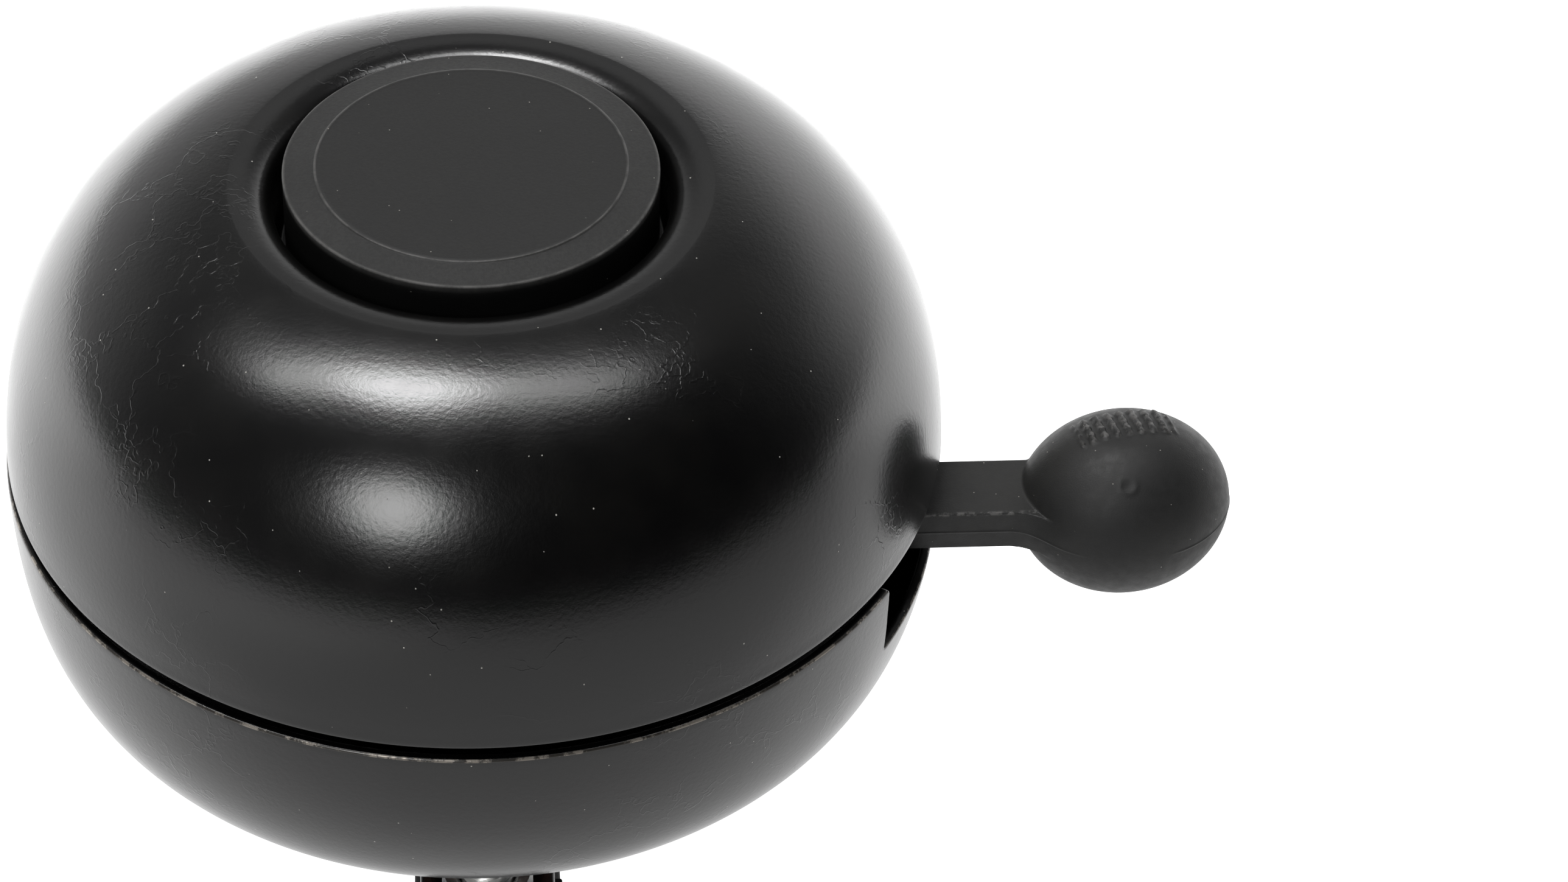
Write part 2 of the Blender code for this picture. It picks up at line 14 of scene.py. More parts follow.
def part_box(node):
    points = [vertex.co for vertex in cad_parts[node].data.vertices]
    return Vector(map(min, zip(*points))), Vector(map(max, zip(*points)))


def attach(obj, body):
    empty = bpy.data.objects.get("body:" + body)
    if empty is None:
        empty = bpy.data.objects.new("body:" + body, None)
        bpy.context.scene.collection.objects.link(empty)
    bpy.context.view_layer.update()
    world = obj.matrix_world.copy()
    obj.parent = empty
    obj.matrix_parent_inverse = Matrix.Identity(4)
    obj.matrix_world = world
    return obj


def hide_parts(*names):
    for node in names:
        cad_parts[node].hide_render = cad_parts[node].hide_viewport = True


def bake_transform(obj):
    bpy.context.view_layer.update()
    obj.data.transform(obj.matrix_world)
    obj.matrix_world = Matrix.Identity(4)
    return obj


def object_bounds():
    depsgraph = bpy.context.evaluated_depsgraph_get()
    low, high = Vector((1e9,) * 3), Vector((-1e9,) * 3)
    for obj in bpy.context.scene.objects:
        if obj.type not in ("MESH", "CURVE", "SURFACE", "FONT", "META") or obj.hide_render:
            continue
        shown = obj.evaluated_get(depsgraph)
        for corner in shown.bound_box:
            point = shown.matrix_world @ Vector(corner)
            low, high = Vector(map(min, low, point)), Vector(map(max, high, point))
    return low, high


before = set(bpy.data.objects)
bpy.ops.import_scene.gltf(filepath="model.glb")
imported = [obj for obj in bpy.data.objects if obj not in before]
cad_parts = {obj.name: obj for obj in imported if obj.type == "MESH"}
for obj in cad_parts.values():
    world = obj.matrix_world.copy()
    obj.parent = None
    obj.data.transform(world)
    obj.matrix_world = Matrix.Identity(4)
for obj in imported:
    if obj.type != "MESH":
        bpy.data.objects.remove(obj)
CAD_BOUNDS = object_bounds()

MM = 0.001


def cad_size(node):
    """A node's box as (radius, low, high), in millimetres."""
    low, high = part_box(node)
    return (high.x - low.x) / 2 / MM, low.z / MM, high.z / MM


RIM_RADIUS, RIM_LEVEL, UPPER_LEVEL = cad_size("upper_bowl")
DOME = UPPER_LEVEL - RIM_LEVEL  # upper bowl's height

# Bowls
SHEET = 0.9
UPPER_CURVE = ((RIM_RADIUS, 0.0), (RIM_RADIUS - 0.56, DOME - 2.02), (20.2, DOME), (20.0, DOME))
LIP_CURVE = ((20.0, DOME), (17.6, DOME), (16.45, DOME - 0.65), (16.35, DOME - 2.45))
RECESS_FLOOR = DOME - 6.75
RECESS_CURVE = ((16.3, DOME - 5.65), (16.25, DOME - 6.45), (16.2, RECESS_FLOOR), (15.75, RECESS_FLOOR))
BOWL_HOLE = 3.6
LOWER_RADIUS, LOWER_FOOT, LOWER_LEVEL = cad_size("lower_bowl")
LOWER_RIM = LOWER_LEVEL - RIM_LEVEL
LOWER_BOTTOM = LOWER_FOOT - RIM_LEVEL
LOWER_FLAT = 14.0  # radius of its flat bottom
LOWER_CURVE = ((LOWER_RADIUS, LOWER_RIM), (LOWER_RADIUS, -17.8),
               (36.65, LOWER_BOTTOM), (LOWER_FLAT, LOWER_BOTTOM))
SEAM = math.radians(162.0)  # azimuth where the bowl's rows start, at the back
NOTCH_AZIMUTH = (-32.2, -2.5)  # degrees
NOTCH_BOTTOM = -8.5
EDGE_ROUND = 0.28  # on the sheet's edges

# Cap
CAP_RADIUS, CAP_FOOT_LEVEL, CAP_LEVEL = cad_size("top_cap")
CAP_TOP = CAP_LEVEL - RIM_LEVEL
CAP_FOOT = CAP_FOOT_LEVEL - RIM_LEVEL
CAP_DISC = 12.9

# Thumb lever
ARM_Y = -7.0
ARM_HALF_WIDTH = 3.5
ARM_LOW = -6.9
ARM_HIGH = -2.94
ARM_START = 8.0
PARTING = -5.02  # height of the mould's parting line
KNOB_CENTRE = (55.64, ARM_Y + 0.45, -5.34)
KNOB_HALF = (9.35, 8.0, 8.0)
KNOB_TURN = 10.0  # degrees
FACET_LEAN = 9.0  # degrees, of the flat on the knob's top
FACET_REACH = 7.75
RIB_PITCH = 1.08
GATE_SPOT = (-1.51, -4.83, 6.24)  # from the knob's centre
RIB_HEIGHT = 0.28
GATE_RING = 0.72  # radius of the mark round the gate
ARM_END = 52.0  # inside the knob
ARM_ROUND = 0.28
WEB_REACH = 1.9  # how far off the arm's front side starts to blend into the knob
HUB = (-7.0, -2.9)
HUB_BORE = 4.75
SOCKET_RADIUS = 8.8  # of the spring's hole in the hub, from the post
SOCKET_AZIMUTH = 60.0  # degrees

# Centre post
POST_RADIUS = 3.0
POST_BORE = 3.3  # of what sits on it

# Gears
MODULE = 1.0
SECTOR_TEETH = 24
SECTOR_KEPT = (22, 23, 0, 1, 2)
PRESSURE_ANGLE = math.radians(20.0)

# Handlebar clamp
BAND_RADIUS = 12.9
BAND_THICKNESS = 1.4
BAND_WIDTH = 12.0
PLATFORM = 16.3
PLATFORM_HALF = 7.5
EAR_END = -25.5
EAR_HEIGHT = 3.2
SCREW_Y = -19.3
SCREW_RADIUS = 2.4
SCREW_PITCH = 0.8

# Camera
CAMERA_DISTANCE = 9.5 * RIM_RADIUS
CAMERA_ELEVATION = 41.161
CAMERA_YAW = 3.981
CAMERA_PITCH = -0.384
CAMERA_ROLL = 1.272
CAMERA_LENS = 101.04

AT_RIM = (0.0, 0.0, RIM_LEVEL)
AT_BAR = (0.0, 0.0, 0.0)


# ---------------- outlines

def cubic(curve, steps):
    t = np.linspace(0.0, 1.0, steps + 1)[:, None]
    p = np.array(curve)
    return (1 - t) ** 3 * p[0] + 3 * t * (1 - t) ** 2 * p[1] + 3 * t * t * (1 - t) * p[2] + t ** 3 * p[3]


def offset_path(path, distance):
    """The path moved to the left of its direction by distance."""
    along = np.gradient(path, axis=0)
    along /= np.linalg.norm(along, axis=1)[:, None]
    return path + np.stack([-along[:, 1], along[:, 0]], axis=1) * distance


def arc(radius, first, last, steps, centre=(0.0, 0.0)):
    turn = np.radians(np.linspace(first, last, steps + 1))
    return np.stack([centre[0] + radius * np.cos(turn), centre[1] + radius * np.sin(turn)], axis=1)


def fillet(corners, closed=True, steps=5):
    """Points along straight runs between (x, y, radius) corners, each rounded to its radius."""
    points = []
    count = len(corners)
    for k, (x, y, radius) in enumerate(corners):
        here = Vector((x, y))
        if radius == 0.0 or (not closed and k in (0, count - 1)):
            points.append((x, y))
            continue
        before = (Vector(corners[k - 1][:2]) - here).normalized()
        after = (Vector(corners[(k + 1) % count][:2]) - here).normalized()
        half = before.angle(after) / 2
        centre = here + (before + after).normalized() * (radius / math.sin(half))
        first = here + before * (radius / math.tan(half)) - centre
        last = here + after * (radius / math.tan(half)) - centre
        total = math.pi - 2 * half
        for step in range(steps + 1):
            share = total * step / steps
            spot = centre + first * (math.sin(total - share) / math.sin(total))
            spot += last * (math.sin(share) / math.sin(total))
            points.append(tuple(spot))
    return np.array(points)


def spaced(path, gap):
    """The path with points added, so that none is further than gap from the next."""
    points = [path[0]]
    for before, after in zip(path, path[1:]):
        pieces = max(1, math.ceil(np.linalg.norm(after - before) / gap))
        points += [before + (after - before) * k / pieces for k in range(1, pieces + 1)]
    return np.array(points)


def smoothed(path, rounds):
    """The path with its corners cut, its ends kept."""
    for _ in range(rounds):
        near = path[:-1] * 0.75 + path[1:] * 0.25
        far = path[:-1] * 0.25 + path[1:] * 0.75
        middle = np.stack([near, far], axis=1).reshape(-1, path.shape[1])
        path = np.concatenate([path[:1], middle, path[-1:]])
    return path


# ---------------- meshes

def revolved(outline, steps):
    """Rows of points: an outline of (radius, height) turned about Z."""
    turn = np.arange(steps) * (math.tau / steps)
    radius = outline[:, 0, None]
    height = np.repeat(outline[:, 1, None], steps, axis=1)
    return np.stack([radius * np.cos(turn), radius * np.sin(turn), height], axis=2)


def skin(name, rows, loop=False, capped=False, marks=None):
    """A mesh over rows of points that wrap round. Rows of equal points close as poles."""
    count, width = rows.shape[:2]
    index = np.arange(count * width).reshape(count, width)
    for k in range(count):
        if np.ptp(rows[k], axis=0).max() < 1e-9:
            index[k] = index[k, 0]
    faces = []
    for k in range(count if loop else count - 1):
        here = index[k]
        there = index[(k + 1) % count]
        corners = np.stack([here, np.roll(here, -1), np.roll(there, -1), there], axis=1).tolist()
        if here[0] == here[1]:
            faces += [(a, c, d) for a, b, c, d in corners]
        elif there[0] == there[1]:
            faces += [(a, b, c) for a, b, c, d in corners]
        else:
            faces += corners
    if capped:
        faces += [index[0].tolist()[::-1], index[-1].tolist()]
    mesh = bpy.data.meshes.new(name)
    mesh.from_pydata(rows.reshape(-1, 3).tolist(), [], faces)
    for label, values in (marks or {}).items():
        mark = mesh.attributes.new(label, "FLOAT", "POINT")
        spread = np.broadcast_to(np.asarray(values, np.float32).reshape(count, -1), (count, width))
        mark.data.foreach_set("value", np.ascontiguousarray(spread, np.float32).ravel())
    tidy = bmesh.new()
    tidy.from_mesh(mesh)
    bmesh.ops.delete(tidy, geom=[v for v in tidy.verts if not v.link_faces], context="VERTS")
    bmesh.ops.recalc_face_normals(tidy, faces=tidy.faces)
    tidy.to_mesh(mesh)
    tidy.free()
    return mesh


def turned(name, corners, steps=96, steps_round=4):
    """A mesh turned about Z from (radius, height, rounding) corners. A loop off the axis stays open."""
    closed = corners[0][0] > 0.0
    outline = fillet(corners, closed, steps_round)
    return skin(name, revolved(outline, steps), loop=closed)


def raised(name, outline, low, high, rounding=0.12):
    """A flat outline of (x, y) points between two heights, with rounded edges."""
    after = np.roll(outline, -1, axis=0)
    ahead = after - outline
    behind = outline - np.roll(outline, 1, axis=0)
    ahead /= np.linalg.norm(ahead, axis=1)[:, None]
    behind /= np.linalg.norm(behind, axis=1)[:, None]
    along = ahead + behind
    along /= np.linalg.norm(along, axis=1)[:, None]
    inward = np.stack([-along[:, 1], along[:, 0]], axis=1)
    area = np.sum(outline[:, 0] * after[:, 1] - after[:, 0] * outline[:, 1])
    if area < 0:
        inward = -inward
    rows = []
    for turn in np.radians((0.0, 30.0, 60.0, 90.0)):
        rows.append((rounding * (1 - math.sin(turn)), low + rounding * (1 - math.cos(turn))))
    rows += [(inset, low + high - height) for inset, height in rows[::-1]]
    loops = [np.column_stack([outline + inward * inset, np.full(len(outline), height)])
             for inset, height in rows]
    return skin(name, np.array(loops), capped=True)


def tube(name, path, radius, sides=14):
    """A round wire along a path, with its ends closed."""
    along = np.gradient(path, axis=0)
    along /= np.linalg.norm(along, axis=1)[:, None]
    side = np.cross(along[0], (0.31, 0.17, 0.94))
    rows = [np.repeat(path[:1], sides, axis=0)]
    turn = np.arange(sides) * (math.tau / sides)
    for spot, direction in zip(path, along):
        side = side - direction * np.dot(side, direction)
        side /= np.linalg.norm(side)
        up = np.cross(direction, side)
        rows.append(spot + radius * (np.cos(turn)[:, None] * side + np.sin(turn)[:, None] * up))
    rows.append(np.repeat(path[-1:], sides, axis=0))
    return skin(name, np.array(rows))


def nut_mesh(name, sides, flats, bore, low, high, turn=0.0):
    """A nut with chamfered corners and a countersunk bore."""
    steps = sides * 16
    azimuth = np.arange(steps) * (math.tau / steps)
    from_flat = (azimuth + math.pi / sides - math.radians(turn)) % (math.tau / sides) - math.pi / sides
    outside = np.minimum(flats / 2 / np.cos(from_flat), flats / 2 / math.cos(math.pi / sides) - 0.05)
    slope = math.tan(math.radians(30.0))
    face = flats / 2 * 0.96
    drop = np.maximum(outside - face, 0.0) * slope
    sink = 0.35
    rows = []

    def row(radius, height):
        radius = np.broadcast_to(radius, steps)
        height = np.broadcast_to(height, steps)
        rows.append(np.stack([radius * np.cos(azimuth), radius * np.sin(azimuth), height], axis=1))

    row(bore, low + sink)
    row(bore + sink, low)
    for share in (0.0, 0.5, 1.0):
        row(face + (outside - face) * share, low + drop * share)
    row(outside, low + drop + 0.08)
    row(outside, high - drop - 0.08)
    for share in (1.0, 0.5, 0.0):
        row(face + (outside - face) * share, high - drop * share)
    row(bore + sink, high)
    row(bore, high - sink)
    return skin(name, np.array(rows), loop=True)


def threaded_rows(radius, low, high, pitch, steps=64):
    """Rows round a threaded rod: the crest winds up the rod by one pitch a turn."""
    heights = np.arange(low, high + 1e-9, pitch / 10)
    turn = np.arange(steps) * (math.tau / steps)
    phase = (heights[:, None] / pitch - turn[None, :] / math.tau) % 1.0
    flank = np.clip(np.abs(phase - 0.5) * 2.6 - 0.35, 0.0, 1.0)
    ends = np.minimum(1.0, np.minimum(heights - low, high - heights) / (0.6 * pitch))[:, None]
    depth = 0.6 * pitch * flank * ends
    reach = radius - depth
    tall = np.repeat(heights[:, None], steps, axis=1)
    return np.stack([reach * np.cos(turn), reach * np.sin(turn), tall], axis=2)


def combined(mesh, other, operation):
    """The mesh with another added to it or cut from it."""
    holder = bpy.data.objects.new("holder", mesh)
    guide = bpy.data.objects.new("guide", other)
    for item in (holder, guide):
        bpy.context.scene.collection.objects.link(item)
    step = holder.modifiers.new("step", "BOOLEAN")
    step.operation = operation
    step.object = guide
    step.solver = "EXACT"
    bpy.context.view_layer.update()
    made = bpy.data.meshes.new_from_object(holder.evaluated_get(bpy.context.evaluated_depsgraph_get()))
    made.name = mesh.name
    bpy.data.objects.remove(holder)
    bpy.data.objects.remove(guide)
    return made


def cylinder(radius, low, high, centre=(0.0, 0.0), steps=48):
    corners = [(0.0, high, 0.0), (radius, high, 0.0), (radius, low, 0.0), (0.0, low, 0.0)]
    mesh = turned("cylinder", corners, steps)
    mesh.transform(Matrix.Translation((*centre, 0.0)))
    return mesh


def add_piece(name, mesh, body, node, slot, place=AT_RIM, sharp=38.0):
    """Put a finished mesh in the frame in place of a CAD node."""
    mesh.transform(Matrix.Scale(MM, 4) @ Matrix.Translation(place))
    mesh.shade_smooth()
    mesh.set_sharp_from_angle(angle=math.radians(sharp))
    piece = bpy.data.objects.new(name, mesh)
    bpy.context.scene.collection.objects.link(piece)
    mesh.materials.clear()
    mesh.materials.append(LOOKS[slot])
    if body is not None:
        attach(piece, body)
    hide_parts(node)
    return piece


# ---------------- finishes

class Graph:
    """A node tree, with short calls for what its nodes need."""

    def __init__(self, tree):
        self.tree = tree

    def join(self, socket, value):
        if isinstance(value, bpy.types.NodeSocket):
            self.tree.links.new(value, socket)
        else:
            socket.default_value = value

    def math(self, operation, *values):
        node = self.tree.nodes.new("ShaderNodeMath")
        node.operation = operation
        for socket, value in zip(node.inputs, values):
            self.join(socket, value)
        return node.outputs["Value"]

    def ramp(self, value, start, end, first=0.0, last=1.0):
        """Smoothly from first to last as value goes from start to end."""
        node = self.tree.nodes.new("ShaderNodeMapRange")
        node.interpolation_type = "SMOOTHSTEP"
        for label, given in (("Value", value), ("From Min", start), ("From Max", end),
                             ("To Min", first), ("To Max", last)):
            self.join(node.inputs[label], given)
        return node.outputs["Result"]


class Finish(Graph):
    """A node material on a Principled shader."""

    def __init__(self, name, colour, roughness, metallic=0.0):
        self.material = bpy.data.materials.new(name)
        self.material.use_nodes = True
        super().__init__(self.material.node_tree)
        self.shader = self.tree.nodes["Principled BSDF"]
        self.set("Base Color", (*colour, 1.0))
        self.set("Roughness", roughness)
        self.set("Metallic", metallic)
        where = self.tree.nodes.new("ShaderNodeTexCoord").outputs["Object"]
        self.place = self.stretched(where, (1000.0, 1000.0, 1000.0))

    def set(self, socket, value):
        self.join(self.shader.inputs[socket], value)

    def stretched(self, vector, scale):
        node = self.tree.nodes.new("ShaderNodeVectorMath")
        node.operation = "MULTIPLY"
        self.join(node.inputs[0], vector)
        node.inputs[1].default_value = scale
        return node.outputs["Vector"]

    def moved(self, vector, by):
        node = self.tree.nodes.new("ShaderNodeVectorMath")
        node.operation = "ADD"
        self.join(node.inputs[0], vector)
        self.join(node.inputs[1], by)
        return node.outputs["Vector"]

    def noise(self, per_mm, detail=2.0, roughness=0.5, vector=None, colour=False):
        node = self.tree.nodes.new("ShaderNodeTexNoise")
        self.join(node.inputs["Vector"], self.place if vector is None else vector)
        node.inputs["Scale"].default_value = per_mm
        node.inputs["Detail"].default_value = detail
        node.inputs["Roughness"].default_value = roughness
        return node.outputs["Color" if colour else "Fac"]

    def cells(self, per_mm, feature="F1", vector=None, output="Distance"):
        node = self.tree.nodes.new("ShaderNodeTexVoronoi")
        node.feature = feature
        self.join(node.inputs["Vector"], self.place if vector is None else vector)
        node.inputs["Scale"].default_value = per_mm
        return node.outputs[output]

    def mark(self, label):
        node = self.tree.nodes.new("ShaderNodeAttribute")
        node.attribute_name = label
        return node.outputs["Fac"]

    def blend(self, share, first, second):
        """A colour between two, given as (r, g, b) or as sockets."""
        node = self.tree.nodes.new("ShaderNodeMix")
        node.data_type = "RGBA"
        self.join(node.inputs["Factor"], share)
        for socket, value in ((node.inputs["A"], first), (node.inputs["B"], second)):
            plain = isinstance(value, bpy.types.NodeSocket)
            self.join(socket, value if plain else (*value, 1.0))
        return node.outputs["Result"]

    def bump(self, height, depth_mm, normal=None):
        node = self.tree.nodes.new("ShaderNodeBump")
        node.inputs["Strength"].default_value = 1.0
        node.inputs["Distance"].default_value = depth_mm * MM
        self.join(node.inputs["Height"], height)
        if normal is not None:
            self.join(node.inputs["Normal"], normal)
        return node.outputs["Normal"]

    def mottle(self, pattern, dark, pale, smooth, rough, band=(0.35, 0.65)):
        """Colour and roughness that follow a pattern. The colour is handed back."""
        tint = self.blend(self.ramp(pattern, *band), dark, pale)
        self.set("Base Color", tint)
        self.set("Roughness", self.ramp(pattern, 0.3, 0.7, smooth, rough))
        return tint

    def specks(self, per_mm, radius_mm, share):
        """1 on small round dots, one in some of the cells."""
        near = self.ramp(self.cells(per_mm), radius_mm * per_mm * 0.6, radius_mm * per_mm, 1.0, 0.0)
        pick = self.tree.nodes.new("ShaderNodeSeparateColor")
        self.join(pick.inputs["Color"], self.cells(per_mm, output="Color"))
        chosen = self.math("GREATER_THAN", pick.outputs["Red"], 1.0 - share)
        return self.math("MULTIPLY", near, chosen)


def black_paint():
    """Satin stove enamel on sheet steel: orange peel, creases, dust, and bare steel on worn edges."""
    look = Finish("satin_black_enamel", (0.002, 0.002, 0.002), 0.25)
    peel = look.noise(2.3, 2.0, 0.55)
    grain = look.noise(9.0, 2.0, 0.6)
    patchy = look.noise(0.09, 3.0, 0.6)
    drift = look.stretched(look.noise(0.25, 3.0, 0.6, colour=True), (9.0, 9.0, 9.0))
    warped = look.moved(look.place, drift)
    crease = look.ramp(look.cells(0.16, "DISTANCE_TO_EDGE", warped), 0.0, 0.022, 1.0, 0.0)
    creased = look.math("MULTIPLY", crease, look.ramp(look.noise(0.06, 2.0), 0.50, 0.62))
    dust = look.specks(1.0, 0.085, 0.12)
    chips = look.ramp(look.noise(0.45, 6.0, 0.72), 0.48, 0.60, 0.06, 0.55)
    chipped = look.math("MULTIPLY", look.mark("edge"), chips)
    body = look.blend(look.ramp(patchy, 0.35, 0.7), (0.0012, 0.0012, 0.0013), (0.0024, 0.0023, 0.0021))
    dusty = look.blend(dust, body, (0.35, 0.34, 0.31))
    look.set("Base Color", look.blend(chipped, dusty, (0.42, 0.38, 0.33)))
    look.set("Metallic", look.math("MULTIPLY", chipped, 0.85))
    rough = look.ramp(patchy, 0.3, 0.7, 0.215, 0.255)
    look.set("Roughness", look.math("ADD", rough, look.math("MULTIPLY", chipped, 0.15)))
    height = look.bump(peel, 0.012)
    height = look.bump(grain, 0.004, height)
    height = look.bump(creased, 0.009, height)
    height = look.bump(dust, 0.04, height)
    look.set("Normal", look.bump(chipped, -0.02, height))
    return look.material


def moulded_plastic(name, tone, roughness, grain_mm):
    """Matt black moulding: fine spark-eroded grain, a few pale specks, and edges rubbed smooth and pale,
    the pale edge line being wear and also a painted highlight.
    """
    look = Finish(name, (tone, tone, tone), roughness)
    fine = look.noise(7.0, 3.0, 0.65)
    coarse = look.noise(1.1, 3.0, 0.6)
    flow = look.noise(0.12, 3.0, 0.6)
    dust = look.specks(1.6, 0.07, 0.12)
    # pale rubbed edges: wear, and also a painted highlight on the edges that catch the light
    rubbed_and_highlit = look.math("MULTIPLY", look.mark("edge"), look.ramp(look.noise(1.7, 4.0, 0.7), 0.42, 0.62))
    pale = (tone * 1.15, tone * 1.14, tone * 1.08)
    body = look.blend(look.ramp(flow, 0.3, 0.7), (tone * 0.85,) * 3, pale)
    look.set("Specular IOR Level", 0.31)
    worn_and_highlit = look.blend(look.math("MULTIPLY", rubbed_and_highlit, 0.8), body, (0.16, 0.155, 0.15))
    look.set("Base Color", look.blend(dust, worn_and_highlit, (0.25, 0.24, 0.22)))
    look.set("Roughness", look.ramp(coarse, 0.3, 0.7, roughness - 0.04, roughness + 0.05))
    rise = look.bump(fine, grain_mm)
    rise = look.bump(coarse, 0.006, rise)
    look.set("Normal", look.bump(dust, 0.03, rise))
    return look.material


def cap_plastic():
    """Black moulding, fully grained where the grain mark is 1 and gloss black where it is 0; that darker
    tone, on the cap's wall, is painted shade.
    """
    look = Finish("cap_plastic", (0.01, 0.01, 0.01), 0.5)
    grain = look.mark("grain")
    coat = look.noise(3.2, 4.0, 0.75)
    flow = look.noise(0.15, 3.0, 0.6)
    dust = look.specks(1.2, 0.07, 0.12)
    # darker where the grain mark is 0, on the cap's wall: painted shade
    tone = look.blend(grain, (0.003, 0.003, 0.003), (0.019, 0.019, 0.0185))
    mottled = look.blend(look.ramp(coat, 0.35, 0.65, 0.0, 0.5), tone, (0.004, 0.004, 0.004))
    shaded = look.blend(look.ramp(flow, 0.3, 0.7, 0.0, 0.25), mottled, (0.006, 0.006, 0.006))
    # edges rubbed pale: wear, and also a painted highlight on the disc's raised edge and the outer rim
    wear_and_highlight = look.ramp(look.noise(0.5, 5.0, 0.7), 0.35, 0.62, 0.3, 0.9)
    rubbed_and_highlit = look.math("MULTIPLY", look.mark("edge"), wear_and_highlight)
    worn_and_highlit = look.blend(rubbed_and_highlit, shaded, (0.085, 0.083, 0.08))
    look.set("Base Color", look.blend(dust, worn_and_highlit, (0.22, 0.21, 0.19)))
    look.set("Roughness", look.ramp(grain, 0.0, 1.0, 0.34, 0.60))
    look.set("Specular IOR Level", 0.31)
    rise = look.bump(look.math("MULTIPLY", coat, grain), 0.035)
    look.set("Normal", look.bump(dust, 0.03, rise))
    return look.material


def nylon():
    """Natural nylon, a little greasy, with flow marks."""
    look = Finish("natural_nylon", (0.55, 0.53, 0.48), 0.45)
    flow = look.noise(0.25, 4.0, 0.65)
    grime = look.ramp(look.noise(0.8, 5.0, 0.7), 0.5, 0.75)
    clean = look.mottle(flow, (0.50, 0.48, 0.43), (0.60, 0.58, 0.53), 0.36, 0.52, (0.3, 0.7))
    look.set("Base Color", look.blend(grime, clean, (0.20, 0.18, 0.15)))
    look.set("Normal", look.bump(look.noise(6.0, 3.0, 0.6), 0.004))
    return look.material


def zinc_plate():
    """Bright zinc on pressed steel: cloudy sheen, draw lines and small dark nicks."""
    look = Finish("zinc_plated_steel", (0.58, 0.59, 0.60), 0.3, 1.0)
    cloud = look.noise(0.35, 4.0, 0.65)
    lines = look.noise(1.0, 3.0, 0.6, look.stretched(look.place, (0.25, 6.0, 6.0)))
    pits = look.specks(1.1, 0.09, 0.15)
    tint = look.mottle(cloud, (0.50, 0.51, 0.53), (0.66, 0.66, 0.64), 0.24, 0.42)
    look.set("Base Color", look.blend(pits, tint, (0.16, 0.15, 0.14)))
    rise = look.bump(lines, 0.006)
    rise = look.bump(look.noise(5.0, 3.0, 0.6), 0.003, rise)
    look.set("Normal", look.bump(pits, -0.02, rise))
    return look.material


def spring_steel():
    """Blued spring steel with an oil film."""
    look = Finish("spring_steel", (0.27, 0.28, 0.31), 0.25, 1.0)
    cloud = look.noise(0.6, 4.0, 0.65)
    look.mottle(cloud, (0.20, 0.21, 0.25), (0.36, 0.35, 0.35), 0.2, 0.36)
    look.set("Normal", look.bump(look.noise(6.0, 3.0, 0.6), 0.003))
    return look.material


def red_fibre():
    """Vulcanised fibre: dull red, with flecks of pressed paper."""
    look = Finish("vulcanised_fibre", (0.25, 0.07, 0.04), 0.75)
    fleck = look.noise(3.5, 4.0, 0.7, look.stretched(look.place, (1.0, 1.0, 3.0)))
    look.mottle(fleck, (0.16, 0.042, 0.028), (0.34, 0.12, 0.075), 0.65, 0.85)
    look.set("Normal", look.bump(fleck, 0.02))
    return look.material


def black_rubber():
    """Soft black rubber with a dry bloom."""
    look = Finish("black_rubber", (0.012, 0.012, 0.012), 0.7)
    bloom = look.noise(0.5, 4.0, 0.65)
    look.mottle(bloom, (0.008, 0.008, 0.008), (0.026, 0.026, 0.027), 0.6, 0.85, (0.4, 0.7))
    look.set("Normal", look.bump(look.noise(4.0, 3.0, 0.6), 0.015))
    return look.material


LOOKS = {
    "bowl_paint": black_paint(),
    "cap_plastic": cap_plastic(),
    "lever_plastic": moulded_plastic("lever_plastic", 0.0125, 0.54, 0.018),
    "gear_plastic": nylon(),
    "zinc_steel": zinc_plate(),
    "spring_steel": spring_steel(),
    "fibre": red_fibre(),
    "rubber": black_rubber(),
}


# ---------------- bowls and cap

def rounded_rim(outer, inner):
    """Points round a sheet's edge at height 0, from its outer face at outer to its inner at inner."""
    corners = [(outer, 2 * EDGE_ROUND, 0.0), (outer, 0.0, EDGE_ROUND), (inner, 0.0, EDGE_ROUND),
               (inner, 2 * EDGE_ROUND, 0.0)]
    return fillet(corners, closed=False, steps=6)


def make_upper_bowl():
    floor = np.array([(12.0, RECESS_FLOOR), (8.0, RECESS_FLOOR), (BOWL_HOLE, RECESS_FLOOR)])
    outer = np.concatenate([cubic(UPPER_CURVE, 90), cubic(LIP_CURVE, 16)[1:],
                            cubic(RECESS_CURVE, 12), floor])
    inner = offset_path(outer, SHEET)
    above_rim = 0.7
    outer = outer[outer[:, 1] > above_rim]
    inner = inner[inner[:, 1] > above_rim]
    rim = rounded_rim(RIM_RADIUS, RIM_RADIUS - SHEET)[::-1]
    outline = np.concatenate([rim, outer, inner[::-1]])
    mesh = skin("upper_bowl_shell", revolved(outline, 320), loop=True)
    add_piece("upper_bowl_shell", mesh, "bell_body", "upper_bowl", "bowl_paint")


def lower_profile():
    """The lower bowl's outer face from rim to hole: distance along it, points and outward normals."""
    path = cubic(LOWER_CURVE, 400)
    flat = np.stack([np.linspace(LOWER_FLAT, BOWL_HOLE, 40)[1:], np.full(39, LOWER_BOTTOM)], axis=1)
    path = np.concatenate([path, flat])
    along = np.gradient(path, axis=0)
    along /= np.linalg.norm(along, axis=1)[:, None]
    outward = np.stack([-along[:, 1], along[:, 0]], axis=1)
    steps = np.linalg.norm(np.diff(path, axis=0), axis=1)
    return np.concatenate([[0.0], np.cumsum(steps)]), path, outward


